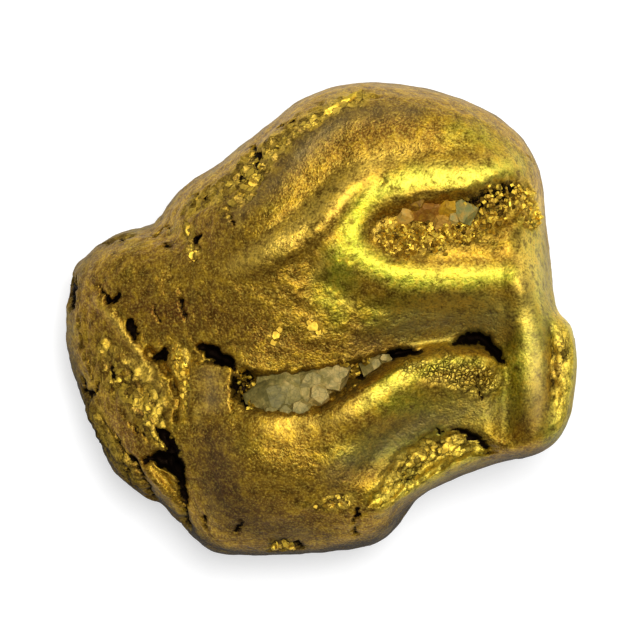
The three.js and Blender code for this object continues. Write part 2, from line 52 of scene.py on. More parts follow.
# The gold in the nugget's own millimetres: +X to the column, +Y to the forehead, +Z up, rim at zero.
# A stroke's rows are x, y, reach left of the way it runs, reach right, height or depth.
nugget = dict(
    gridSide=124,  # quads along each side of the starting cube
    topShare=0.5,  # under 1 draws more of the skin up onto the top
    crownHeight=5.4,
    crownRound=3.2,
    # the crown is fuller towards these: degrees round from +X, narrowness, amount
    squares=dict(column=(0, 1, 3.6), forehead=(64, 2, 8.0), flange=(-13, 27, 75.0), hollow=(-52, 12, 7.0)),
    bellyDepth=5.0,
    bellyRound=2.0,
    wornFlat=4.6,
    leanRight=0.055,
    leanBack=0.03,
    wear=5,  # rounds of smoothing that stand for the river's
    outline=[
        (8.85, 5.5), (8.3, 6.9), (7.2, 8.0), (5.9, 8.7), (4.45, 9.15), (3.05, 9.4), (1.7, 9.45),
        (0.3, 9.25), (-0.9, 8.7), (-1.95, 7.9), (-3.75, 6.5), (-5.5, 5.3), (-6.75, 3.85), (-8.0, 3.5),
        (-9.3, 2.75), (-10.0, 1.8), (-10.2, -0.7), (-9.5, -3.45), (-8.3, -6.05), (-7.25, -6.95),
        (-6.1, -7.75), (-5.05, -8.8), (-3.9, -9.4), (-1.0, -9.4), (1.6, -9.1), (2.75, -8.5), (3.3, -7.7),
        (4.55, -6.7), (6.9, -5.75), (8.6, -5.35), (9.7, -4.3), (10.2, -2.0), (10.0, -0.3), (9.45, 0.4),
        (9.25, 2.3), (9.0, 4.1),
    ],
    rimLift=[-0.8, 0.3, 0.5, -0.2, -0.7, -0.5, 0.2, 0.1],  # every 45 degrees from +X
    # azimuth, elevation, reach in degrees, depth
    knocks=[
        (20, -28, 28, 0.7), (75, -32, 30, 0.6), (128, -24, 28, 0.8), (168, -40, 24, -0.4),
        (212, -24, 26, 0.9), (262, -32, 30, 0.6), (312, -24, 26, 0.8), (346, -42, 22, -0.5),
    ],
    # x, y, half-length, half-width, turn, rise
    rises=dict(
        crown=(5.6, 4.0, 4.2, 3.2, 8, 0.4),
        cheek=(-1.3, 2.3, 3.0, 1.8, 28, 0.45),
        temple=(-3.2, 3.4, 2.2, 1.7, 30, 0.35),
        leftFall=(-7.0, -1.2, 4.4, 3.8, 0, -1.2),
        knobPlate=(-8.1, -2.6, 2.4, 1.4, -52, 0.35),
        jaw=(-1.2, -5.8, 2.6, 2.2, 5, 0.45),
        plate=(5.2, -2.6, 1.6, 0.9, 0, 0.15),
        lipLeft=(-3.2, -4.6, 1.6, 1.2, 0, 0.3),
        ringRight=(8.0, 1.0, 1.0, 1.6, 0, 0.22),
        hollowFall=(4.0, -5.1, 2.4, 1.3, 30, -0.8),
        corner=(8.6, -4.2, 1.4, 1.4, 0, 0.45),
    ),
    ridgeWall=2.6,
    ridges=dict(
        collar=[(7.7, 1.65, 1.2, 0.9, 0.25), (5.8, 1.55, 1.25, 1.1, 0.35), (4.2, 1.45, 1.15, 1.2, 0.4),
                (2.6, 1.7, 1.35, 1.2, 0.45), (1.3, 2.4, 1.6, 1.2, 0.4), (0.95, 3.5, 1.7, 1.3, 0.35),
                (1.5, 4.6, 1.6, 1.2, 0.3), (2.8, 5.0, 1.6, 1.0, 0.3), (4.4, 5.1, 1.6, 0.9, 0.3),
                (6.0, 5.25, 1.5, 0.9, 0.3), (7.6, 5.7, 1.2, 0.8, 0.2)],
        cheekRidge=[(-3.7, 1.7, 0.8, 0.6, 0.1), (-2.3, 2.35, 0.9, 0.7, 0.26), (-0.8, 3.2, 1.0, 0.8, 0.32),
                    (0.4, 4.35, 1.0, 0.8, 0.24), (1.6, 5.7, 1.0, 0.8, 0.1)],
        lip=[(-2.4, -3.9, 0.6, 1.2, 0.08), (-0.8, -3.85, 0.7, 1.4, 0.12), (0.6, -3.5, 0.8, 1.6, 0.25),
             (2.0, -2.85, 0.9, 1.8, 0.5), (3.2, -2.05, 0.9, 1.7, 0.5), (4.4, -1.6, 0.8, 1.6, 0.4),
             (6.0, -1.5, 0.8, 1.5, 0.35)],
        column=[(7.7, 3.0, 1.0, 0.8, 0.1), (7.9, 1.6, 1.0, 1.0, 0.3), (8.1, 0.3, 0.9, 1.1, 0.33),
                (8.25, -0.8, 0.85, 1.1, 0.32), (8.45, -2.0, 0.8, 1.1, 0.28), (8.5, -3.6, 0.8, 1.0, 0.2),
                (8.5, -4.6, 0.8, 1.0, 0.15)],
        ledge=[(-8.9, 0.9, 0.12, 0.3, 0.12), (-8.2, 0.15, 0.14, 0.35, 0.2), (-7.7, -0.6, 0.14, 0.35, 0.22),
               (-7.1, -1.3, 0.14, 0.35, 0.18)],
        leafEdge=[(-7.9, -3.2, 0.3, 0.2, 0.15), (-7.0, -4.0, 0.35, 0.2, 0.3), (-6.3, -4.5, 0.3, 0.2, 0.2)],
        hollowRim=[(2.2, -7.45, 0.35, 0.4, 0.2), (3.2, -6.85, 0.4, 0.45, 0.4), (4.5, -6.05, 0.45, 0.5, 0.5),
                   (5.8, -5.45, 0.4, 0.45, 0.35)],
        sliver=[(-6.95, -6.0, 0.4, 0.4, 0.3), (-6.4, -6.7, 0.5, 0.45, 0.6), (-5.8, -7.5, 0.4, 0.35, 0.45)],
    ),
    dipWall=1.6,
    dips=dict(
        brow=[(-1.2, -2.6, 2.4, 0.6, 0.35), (1.2, -2.1, 2.7, 0.6, 0.75), (3.6, -1.15, 2.1, 0.5, 1.0),
              (5.6, -0.85, 2.0, 0.5, 1.05), (6.9, -1.0, 1.3, 0.5, 0.7)],
        trough=[(3.4, -4.0, 0.9, 0.9, 0.15), (2.6, -4.7, 1.0, 1.0, 0.3), (1.8, -5.8, 1.0, 1.0, 0.2)],
        valley=[(7.2, -1.6, 0.5, 0.6, 0.15), (7.2, -3.0, 0.7, 0.8, 0.4), (7.3, -4.3, 0.8, 0.9, 0.55)],
        flangeGroove=[(8.8, 0.3, 0.35, 0.3, 0.1), (8.95, -0.6, 0.4, 0.35, 0.2),
                      (9.0, -2.0, 0.4, 0.35, 0.25), (8.95, -3.4, 0.4, 0.35, 0.2),
                      (8.8, -4.4, 0.35, 0.4, 0.1)],
        neck=[(-6.9, 3.9, 1.5, 1.5, 0.6), (-6.2, 2.8, 1.3, 1.3, 0.2), (-5.6, 1.5, 0.9, 0.9, 0.05)],
    ),
    ragged=0.16,  # how far the edges of hollows and cracks wander
    hollowWall=4.0,
    hollows=dict(
        fold=[(-3.3, -2.6, 0.4, 0.5, 0.9), (-2.6, -2.75, 0.75, 0.8, 1.2), (-1.2, -2.85, 0.85, 0.85, 1.4),
              (0.4, -2.55, 0.8, 0.8, 1.4), (1.2, -2.2, 0.55, 0.55, 1.3), (2.0, -1.75, 0.4, 0.4, 1.0),
              (2.7, -1.5, 0.2, 0.2, 0.5)],
        holeByTab=[(-2.95, -2.2, 0.4, 0.4, 0.4), (-2.9, -3.0, 0.4, 0.4, 0.5)],
        holeOverTab=[(-4.7, -1.05, 0.15, 0.15, 0.3), (-4.2, -1.25, 0.28, 0.28, 0.9),
                     (-3.5, -1.7, 0.22, 0.22, 0.7)],
        foldEnd=[(5.2, -0.95, 0.15, 0.15, 0.3), (5.7, -0.72, 0.2, 0.2, 0.8), (6.3, -0.72, 0.26, 0.26, 1.0),
                 (6.75, -1.15, 0.22, 0.22, 0.9), (7.1, -1.7, 0.13, 0.13, 0.4)],
        pocket=[(2.0, 3.45, 0.3, 0.3, 0.05), (2.8, 3.55, 0.9, 0.95, 0.18), (3.7, 3.7, 1.15, 1.3, 0.32),
                (4.8, 3.95, 1.0, 1.25, 0.5), (6.0, 4.2, 0.95, 1.15, 0.75), (7.0, 4.6, 0.95, 1.05, 0.8),
                (7.8, 4.95, 0.6, 0.6, 0.4)],
        tornHollow=[(2.1, -7.1, 0.25, 0.25, 0.2), (2.9, -6.4, 0.7, 0.65, 0.4), (3.7, -5.7, 0.95, 0.85, 0.5),
                    (4.8, -5.05, 0.8, 0.75, 0.55), (5.8, -4.85, 0.55, 0.5, 0.6),
                    (6.6, -5.1, 0.3, 0.25, 0.4)],
        leafGap=[(-6.8, -1.2, 0.2, 0.2, 0.3), (-6.3, -1.6, 0.22, 0.22, 0.4), (-5.8, -2.5, 0.12, 0.12, 0.3),
                 (-5.6, -3.2, 0.1, 0.1, 0.25), (-5.7, -4.0, 0.12, 0.12, 0.3)],
        leftCrack=[(-6.5, -4.2, 0.1, 0.1, 0.2), (-6.1, -4.6, 0.22, 0.22, 0.7),
                   (-5.75, -5.4, 0.34, 0.3, 1.0), (-5.5, -6.2, 0.15, 0.14, 0.7),
                   (-5.42, -6.9, 0.1, 0.1, 0.5), (-5.4, -7.6, 0.11, 0.11, 0.5),
                   (-5.3, -8.3, 0.12, 0.12, 0.5)],
        crackMouth=[(-7.0, -5.65, 0.12, 0.12, 0.4), (-6.35, -5.4, 0.25, 0.3, 0.8),
                    (-5.8, -5.75, 0.3, 0.4, 0.9), (-5.4, -6.2, 0.15, 0.2, 0.6)],
        foldArm=[(2.45, -1.6, 0.14, 0.14, 0.3), (2.9, -1.35, 0.2, 0.2, 0.7), (3.6, -1.25, 0.16, 0.16, 0.6),
                 (4.1, -1.25, 0.1, 0.1, 0.2)],
        sliverCrack=[(-8.1, -4.8, 0.12, 0.12, 0.3), (-7.3, -5.85, 0.15, 0.15, 0.5),
                     (-6.9, -6.8, 0.13, 0.13, 0.5), (-6.3, -7.6, 0.13, 0.13, 0.5),
                     (-5.5, -8.35, 0.12, 0.12, 0.4)],
    ),
    # hollows painted black: painted shadow in the fold's slits, and soil packed in cracks
    blackened=["holeByTab", "holeOverTab", "foldEnd", "foldArm", "leftCrack", "crackMouth", "sliverCrack"],
    # the flat square tab of gold left of the fold: middle, half-sizes, turn, lift, fall to the left
    tab=(-4.28, -2.75, 0.85, 1.05, -4, 0.2, 0.28),
    crackWall=2.2,
    cracks=dict(
        tabTop=[(-5.1, -1.66, 0.05, 0.05, 0.15), (-4.3, -1.66, 0.09, 0.09, 0.3),
                (-3.5, -1.75, 0.09, 0.09, 0.3)],
        tabRight=[(-3.38, -1.8, 0.09, 0.09, 0.3), (-3.36, -2.7, 0.1, 0.1, 0.4),
                  (-3.42, -3.6, 0.06, 0.06, 0.2)],
        vee=[(-8.72, 1.25, 0.1, 0.1, 0.3), (-8.5, 0.95, 0.14, 0.14, 0.5), (-8.2, 0.72, 0.17, 0.17, 0.55),
             (-7.95, 1.0, 0.1, 0.1, 0.4), (-7.88, 1.2, 0.06, 0.06, 0.2)],
        slot=[(-7.62, 0.02, 0.1, 0.1, 0.35), (-7.5, -0.35, 0.15, 0.15, 0.6),
              (-7.28, -0.78, 0.12, 0.12, 0.5)],
        slit=[(-6.55, 0.55, 0.07, 0.07, 0.25), (-6.42, 0.25, 0.1, 0.1, 0.4),
              (-6.3, -0.05, 0.07, 0.07, 0.25)],
        rimNotch=[(-10.0, 1.75, 0.15, 0.15, 0.3), (-9.95, 1.1, 0.22, 0.22, 0.5),
                  (-10.0, 0.45, 0.15, 0.15, 0.3)],
        edgeWedge=[(-9.55, -2.4, 0.1, 0.1, 0.3), (-9.25, -3.0, 0.16, 0.16, 0.5),
                   (-8.9, -2.7, 0.1, 0.1, 0.35), (-8.75, -2.4, 0.07, 0.07, 0.2)],
        leafSlit=[(-8.4, -1.75, 0.08, 0.08, 0.3), (-8.2, -2.2, 0.13, 0.13, 0.5)],
        crease=[(-5.5, 1.2, 0.1, 0.1, 0.1), (-5.4, 0.6, 0.16, 0.16, 0.24), (-5.25, 0.0, 0.14, 0.14, 0.2)],
        neckCrack=[(-6.65, 3.2, 0.06, 0.06, 0.2), (-6.35, 3.5, 0.09, 0.09, 0.3),
                   (-6.05, 3.72, 0.06, 0.06, 0.2)],
        seam=[(-8.7, 3.1, 0.06, 0.06, 0.2), (-8.1, 3.22, 0.1, 0.1, 0.35), (-7.45, 3.4, 0.07, 0.07, 0.2)],
        flakeSlit=[(-4.85, 4.85, 0.07, 0.07, 0.2), (-4.35, 4.75, 0.1, 0.1, 0.3)],
        flakeSlitLow=[(-3.6, 4.3, 0.07, 0.07, 0.2), (-3.4, 3.75, 0.1, 0.1, 0.35)],
        flakeHole=[(-2.68, 6.9, 0.08, 0.08, 0.3), (-2.5, 6.35, 0.12, 0.12, 0.45)],
        flakeSlitHigh=[(-1.6, 7.6, 0.09, 0.09, 0.3), (-1.0, 7.75, 0.08, 0.08, 0.25)],
        chinSlit=[(-4.6, -7.75, 0.08, 0.08, 0.3), (-4.5, -8.15, 0.08, 0.08, 0.3)],
        chinSlitRight=[(-3.1, -7.9, 0.08, 0.08, 0.25), (-3.35, -8.3, 0.1, 0.1, 0.3)],
        lowCrack=[(1.5, -7.4, 0.12, 0.12, 0.4), (1.35, -7.9, 0.07, 0.07, 0.25),
                  (1.4, -8.4, 0.12, 0.12, 0.35)],
        columnCrack=[(8.15, 6.45, 0.05, 0.05, 0.15), (8.35, 6.2, 0.07, 0.07, 0.25),
                     (8.55, 5.95, 0.05, 0.05, 0.15)],
        hollowSlit=[(5.25, -4.25, 0.12, 0.12, 0.4), (5.9, -4.5, 0.2, 0.2, 0.8),
                    (6.5, -4.95, 0.13, 0.13, 0.5)],
        knobCrease=[(-8.5, -4.2, 0.07, 0.07, 0.2), (-7.95, -5.2, 0.09, 0.09, 0.35),
                    (-7.7, -6.0, 0.08, 0.08, 0.3)],
        leafCrease=[(-7.5, -2.0, 0.06, 0.06, 0.15), (-6.9, -2.9, 0.08, 0.08, 0.25),
                    (-6.4, -3.4, 0.06, 0.06, 0.2)],
        leafCreaseLow=[(-8.0, -3.5, 0.06, 0.06, 0.15), (-7.2, -4.4, 0.08, 0.08, 0.25),
                       (-6.5, -4.8, 0.07, 0.07, 0.2)],
        rimCrease=[(-9.5, -0.9, 0.05, 0.05, 0.1), (-9.2, -1.9, 0.07, 0.07, 0.2),
                   (-9.0, -2.4, 0.05, 0.05, 0.15)],
        flangeCrease=[(9.0, -0.5, 0.06, 0.06, 0.1), (9.1, -1.2, 0.09, 0.09, 0.25),
                      (8.95, -1.9, 0.06, 0.06, 0.15), (9.05, -2.6, 0.08, 0.08, 0.2),
                      (8.9, -3.3, 0.05, 0.05, 0.1)],
        plateSlit=[(6.05, -2.55, 0.1, 0.1, 0.25), (6.25, -3.0, 0.12, 0.12, 0.3)],
    ),
    # x, y, half-length, half-width, turn, depth
    pits=[
        (-5.95, 2.9, 0.17, 0.14, 0, 0.4), (-4.8, 3.1, 0.3, 0.22, 40, 0.45),
        (-4.95, 2.35, 0.16, 0.1, 50, 0.3), (-2.5, 6.05, 0.15, 0.12, 30, 0.35),
        (-3.1, 5.6, 0.2, 0.14, -30, 0.4), (-9.65, -0.15, 0.13, 0.17, 0, 0.4),
        (-9.55, -0.65, 0.1, 0.12, 0, 0.3), (-0.95, -8.9, 0.28, 0.2, 0, 0.5),
        (1.65, -2.2, 0.24, 0.2, 30, 0.5), (1.05, -2.55, 0.25, 0.13, 40, 0.4),
        (4.65, -4.35, 0.14, 0.1, 0, 0.35), (2.4, 5.35, 0.28, 0.13, 10, 0.07),
        (-7.9, -5.2, 0.1, 0.18, -20, 0.4), (-7.65, -6.0, 0.12, 0.14, 0, 0.35),
        (-8.7, -4.2, 0.14, 0.1, 40, 0.3), (-6.25, -1.4, 0.42, 0.28, 30, 0.5),
        (-3.9, -1.1, 0.2, 0.14, 0, 0.2),
    ],
    # x, y, half-width, height
    beads=[
        (-3.3, 1.2, 0.12, 0.05), (-2.4, 0.8, 0.12, 0.05), (-2.9, 4.2, 0.13, 0.06),
        (1.5, -0.4, 0.14, 0.07), (1.9, -0.2, 0.1, 0.06), (-2.4, -7.2, 0.1, 0.05),
    ],
    polished=["collar", "column", "lip"],
    pebbly=["roughPlate"],  # torn, then rounded again into pebbles
    # where the skin is torn open into grains and leaves, and how thickly loose grains lie there
    grit=dict(flakyStrip=0.2, flakyNeck=0.1, flakyLow=0.1, pocketWall=0.7, roughPlate=0.2, hollowFloor=0.15,
              flange=0.0, byFold=0.6, byCrack=0.2, byChip=0.9, knob=0.2, knobRim=0.25, byTab=0.8, lowBand=0.5,
              chinPit=0.8, pocketFloor=1.0),
    torn=dict(
        flakyStrip=[(-5.2, 4.3, 0.4, 0.4, 0.4), (-4.0, 5.0, 0.6, 0.6, 0.6), (-3.1, 5.6, 0.7, 0.8, 1.0),
                    (-2.3, 6.4, 0.6, 0.7, 1.0), (-1.3, 7.2, 0.5, 0.6, 0.9), (-0.3, 7.9, 0.45, 0.5, 0.8),
                    (0.8, 8.4, 0.4, 0.45, 0.9), (1.9, 8.8, 0.3, 0.3, 0.5)],
        flakyNeck=[(-5.2, 3.7, 0.3, 0.3, 0.6), (-4.9, 2.7, 0.35, 0.35, 0.8)],
        flakyLow=[(-3.7, 4.1, 0.3, 0.3, 0.6), (-2.9, 4.9, 0.35, 0.35, 0.8)],
        pocketWall=[(8.0, 5.2, 0.4, 0.4, 0.7), (8.15, 4.5, 0.5, 0.5, 1.0), (8.2, 3.8, 0.4, 0.4, 0.8)],
        roughPlate=[(3.2, -1.9, 0.5, 0.6, 0.7), (4.4, -1.9, 0.8, 0.9, 1.0), (5.6, -2.0, 0.9, 1.1, 1.0),
                    (6.5, -2.4, 0.8, 0.9, 0.9)],
        hollowFloor=[(2.3, -6.9, 0.3, 0.3, 0.6), (2.9, -6.4, 0.65, 0.6, 0.9), (3.7, -5.7, 0.9, 0.8, 1.0),
                     (4.8, -5.05, 0.75, 0.7, 1.0), (5.8, -4.85, 0.5, 0.45, 0.8)],
        flange=[(9.3, -0.2, 0.3, 0.3, 0.5), (9.3, -1.2, 0.5, 0.5, 0.8), (9.4, -2.6, 0.5, 0.4, 0.6),
                (9.2, -4.0, 0.3, 0.3, 0.4)],
        knob=[(-8.9, -0.9, 0.6, 0.6, 0.3), (-8.2, -2.0, 1.0, 1.0, 0.7), (-7.2, -3.0, 1.1, 1.1, 0.9),
              (-6.6, -4.3, 0.8, 0.8, 0.9)],
        knobRim=[(-9.3, -3.3, 0.5, 0.5, 0.5), (-8.4, -5.0, 0.6, 0.6, 0.6), (-7.4, -6.3, 0.5, 0.5, 0.5)],
        byTab=[(-5.6, -1.3, 0.5, 0.5, 0.8), (-5.35, -2.4, 0.35, 0.35, 0.9), (-5.1, -3.6, 0.4, 0.4, 0.7)],
        byCrack=[(-6.5, -4.3, 0.4, 0.4, 0.7), (-6.0, -5.0, 0.6, 0.5, 1.0), (-5.6, -6.0, 0.4, 0.3, 0.8)],
        byChip=[(0.9, -1.55, 0.3, 0.3, 0.7), (1.3, -2.1, 0.35, 0.35, 1.0), (1.7, -1.6, 0.2, 0.2, 0.6)],
        byFold=[(-3.0, -2.3, 0.4, 0.4, 0.8), (-2.8, -3.0, 0.45, 0.45, 1.0), (-2.6, -3.5, 0.35, 0.35, 0.8)],
        lowBand=[(-0.9, -7.3, 0.25, 0.3, 0.4), (0.6, -7.2, 0.35, 0.35, 0.8), (1.3, -6.9, 0.25, 0.25, 0.6)],
        chinPit=[(-1.9, -8.9, 0.25, 0.25, 0.5), (-1.3, -8.9, 0.3, 0.3, 0.8)],
        pocketFloor=[(2.4, 3.35, 0.4, 0.4, 0.7), (3.3, 3.15, 0.9, 1.0, 1.0), (4.6, 3.35, 1.1, 1.1, 1.0),
                     (5.8, 3.8, 1.3, 1.1, 0.9), (6.8, 4.4, 1.2, 1.1, 0.7), (7.7, 4.8, 0.8, 0.7, 0.6)],
    ),
)


def smoothCurve(points, closed=False, steps=10):
    # Catmull-Rom through the rows of points
    rows = np.array(points, float)
    ahead = np.roll(rows, -1, 0)
    ahead2 = np.roll(rows, -2, 0)
    behind = np.roll(rows, 1, 0)
    if not closed:
        behind[0] = 2 * rows[0] - rows[1]
        ahead2[-2] = 2 * rows[-1] - rows[-2]
        rows, ahead, ahead2, behind = rows[:-1], ahead[:-1], ahead2[:-1], behind[:-1]
    share = np.arange(steps)[None, :, None] / steps
    a, b, c, d = (part[:, None, :] for part in (behind, rows, ahead, ahead2))
    bent = 0.5 * (2 * b + (c - a) * share + (2 * a - 5 * b + 4 * c - d) * share**2
                  + (3 * b - a - 3 * c + d) * share**3)
    bent = bent.reshape(-1, rows.shape[1])
    return bent if closed else np.vstack([bent, points[-1]])


def strokeField(points, wall, x, y):
    # the strongest dab of a stroke at each x, y: all of it in the middle, nothing at its reach
    rows = smoothCurve(points)
    way = np.gradient(rows[:, :2], axis=0)
    way /= np.linalg.norm(way, axis=1)[:, None]
    field = np.zeros(len(x))
    for (atX, atY, left, right, depth), (wayX, wayY) in zip(rows, way):
        reach = max(left, right)
        near = np.flatnonzero((np.abs(x - atX) < reach) & (np.abs(y - atY) < reach))
        dx, dy = x[near] - atX, y[near] - atY
        away = np.hypot(dx, dy) + 1e-9
        side = (wayX * dy - wayY * dx) / away
        width = (left + right) / 2 + side * (left - right) / 2
        dab = depth * (1 - np.clip(away / width, 0, 1) ** wall) ** 2
        field[near] = np.maximum(dab, field[near])
    return field


def turnedTo(x, y, atX, atY, length, width, turn):
    # x, y seen from a turned place, in its half-lengths and half-widths
    c, s = math.cos(math.radians(turn)), math.sin(math.radians(turn))
    return ((x - atX) * c + (y - atY) * s) / length, ((y - atY) * c - (x - atX) * s) / width


def ease(low, high, values):
    share = np.clip((values - low) / (high - low), 0, 1)
    return share * share * (3 - 2 * share)


def noiseAt(points, size, octaves=2, seed=0):
    away = Vector((seed * 7.1, seed * 3.7, seed * 5.3))
    return np.array([noise.fractal(Vector(p) / size + away, 0.8, 2.1, octaves) for p in points.tolist()])


def leavesAt(points, size, seed=0):
    # tilted leaves, one to a scattered cell: height over the skin, distance from the cell's edge and a tone
    away = Vector((seed * 4.3, seed * 6.1, seed * 2.9))
    height, edge, tone = [], [], []
    for place in points.tolist():
        at = Vector(place) / size + away
        far, centres = noise.voronoi(at)
        tip = noise.noise_vector(centres[0] * 11.7)
        height.append(size * (0.35 * tip.z + 1.3 * tip.dot(at - centres[0])))
        edge.append(far[1] - far[0])
        tone.append(tip.x)
    return np.array(height), np.array(edge), np.array(tone)


def ballGrid(side):
    # a cube of square grids blown up to a ball: directions and outward quads
    step = np.tan(np.linspace(-1, 1, side + 1) * math.pi / 4)
    u, v = (g.ravel() for g in np.meshgrid(step, step, indexing="ij"))
    one = np.ones_like(u)
    faces = [(one, u, v), (-one, v, u), (v, one, u), (u, -one, v), (u, v, one), (v, u, -one)]
    points = np.vstack([np.column_stack(f) for f in faces])
    points /= np.linalg.norm(points, axis=1)[:, None]
    cell = (np.arange(side)[:, None] * (side + 1) + np.arange(side)[None, :]).ravel()
    quad = np.column_stack([cell, cell + side + 1, cell + side + 2, cell + 1])
    quads = np.vstack([quad + i * len(u) for i in range(6)])
    _, first, same = np.unique(np.round(points, 6), axis=0, return_index=True, return_inverse=True)
    return points[first], same.reshape(-1)[quads]


def relax(values, quads, rounds, amount=0.5):
    # each value moves towards the mean of its neighbours'
    here = np.concatenate([quads[:, i] for i in range(4)])
    there = np.concatenate([quads[:, (i + 1) % 4] for i in range(4)])
    valence = np.bincount(here)
    columns = values.reshape(len(values), -1).T.copy()
    for _ in range(rounds):
        for column in columns:
            column += amount * (np.bincount(here, column[there]) / valence - column)
    return columns.T.reshape(values.shape)


def normalsOf(points, quads):
    a, b, c, d = (points[quads[:, i]] for i in range(4))
    facing = np.cross(c - a, d - b)
    total = np.zeros_like(points)
    for axis in range(3):
        total[:, axis] = sum(np.bincount(quads[:, i], facing[:, axis]) for i in range(4))
    return total / (np.linalg.norm(total, axis=1)[:, None] + 1e-12)


def nuggetForm():
    part = nugget
    start, quads = ballGrid(part["gridSide"])
    fromTop = 2 * np.arctan(part["topShare"] * np.tan(np.arccos(np.clip(start[:, 2], -1, 1)) / 2))
    angle = np.arctan2(start[:, 1], start[:, 0])
    rim = smoothCurve(part["outline"], closed=True, steps=12)
    rimAngle, rimFar = np.arctan2(rim[:, 1], rim[:, 0]), np.hypot(rim[:, 0], rim[:, 1])
    order = np.argsort(rimAngle)
    radius = np.interp(angle, rimAngle[order], rimFar[order], period=2 * math.pi)
    wave = smoothCurve([(lift,) for lift in part["rimLift"]], closed=True, steps=20)[:, 0]
    lift = np.interp(angle, np.arange(len(wave)) * 2 * math.pi / len(wave), wave, period=2 * math.pi)
    out = np.clip(np.sin(fromTop), 0, 1)
    x, y = radius * out * np.cos(angle), radius * out * np.sin(angle)
    top = fromTop < math.pi / 2
    crownRound = np.full(len(x), part["crownRound"])
    for turn, narrow, amount in part["squares"].values():
        crownRound += amount * np.maximum(0, np.cos(angle - math.radians(turn))) ** narrow
    full = np.sqrt(1 - out ** np.where(top, crownRound, part["bellyRound"]))
    crown = (part["crownHeight"] + part["leanRight"] * x + part["leanBack"] * y) * full
    z = lift * out**2 + np.where(top, crown, -part["bellyDepth"] * full)
    relief = np.zeros(len(x))
    for points in part["ridges"].values():
        relief += strokeField(points, part["ridgeWall"], x, y)
    for points in part["dips"].values():
        relief -= strokeField(points, part["dipWall"], x, y)
    for *place, rise in part["rises"].values():
        along, across = turnedTo(x, y, *place)
        relief += rise * np.exp(-along**2 - across**2)
    z += np.where(top, np.minimum(1, 2 * full), 0) * relief
    points = np.column_stack([x, y, z])
    facing = np.column_stack([out * np.cos(angle), out * np.sin(angle), np.cos(fromTop)])
    for azimuth, elevation, reach, depth in part["knocks"]:
        a, e = math.radians(azimuth), math.radians(elevation)
        centre = np.array([math.cos(e) * math.cos(a), math.cos(e) * math.sin(a), math.sin(e)])
        away = np.degrees(np.arccos(np.clip(facing @ centre, -1, 1))) / reach
        points -= facing * np.where(away < 1, depth * (1 - away**2) ** 2, 0)[:, None]
    points[:, 2] = np.maximum(points[:, 2], -part["wornFlat"])
    points = relax(points, quads, part["wear"])
    print("nugget form:", len(points), "points,", len(quads), "quads")
    return points, quads, top, full


def cutHollows(points, quads, top, full):
    # straight down into the top, inwards near the rim
    part = nugget
    upright = ease(0.3, 0.7, full)[:, None]
    way = normalsOf(points, quads) * (1 - upright) + np.array([0, 0, 1.0]) * upright
    way /= np.linalg.norm(way, axis=1)[:, None]
    ragged = part["ragged"] * np.column_stack([noiseAt(points, 0.35, 3, seed) for seed in (5, 6)])
    x, y = points[:, 0] + ragged[:, 0], points[:, 1] + ragged[:, 1]
    depth = np.zeros(len(points))
    soilAndShadow = np.zeros(len(points))
    for label, stroke in part["hollows"].items():
        hollow = strokeField(stroke, part["hollowWall"], x, y)
        depth += hollow
        if label in part["blackened"]:
            soilAndShadow = np.maximum(soilAndShadow, ease(0.1, 0.4, hollow))
    points = points - way * np.where(top, depth, 0)[:, None]
    points = relax(points, quads, 2)
    *place, lift, fall = part["tab"]
    along, across = turnedTo(points[:, 0], points[:, 1], *place)
    square = np.where(top, ease(1.08, 0.95, np.maximum(np.abs(along), np.abs(across))), 0)
    middle = np.hypot(along, across) < 0.5
    flat = points[middle & top, 2].mean() + lift + fall * along
    points[:, 2] += square * (flat - points[:, 2])
    cut = np.zeros(len(points))
    for stroke in part["cracks"].values():
        cut = np.maximum(cut, strokeField(stroke, part["crackWall"], x, y))
    for *place, deep in part["pits"]:
        along, across = turnedTo(x, y, *place)
        cut = np.maximum(cut, deep * (1 - np.clip(np.hypot(along, across), 0, 1) ** 3) ** 2)
    cut = np.where(top, cut, 0)
    points = points - way * cut[:, None]
    # cracks and pits deeper than about a quarter millimetre go black too: painted shade in the recesses,
    # filled like the soil
    soilAndShadow = relax(np.where(top, np.maximum(soilAndShadow, ease(0.08, 0.25, cut)), 0), quads, 1)
    points += 0.6 * soilAndShadow[:, None] * (relax(points, quads, 2) - points)
    return points, soilAndShadow, square


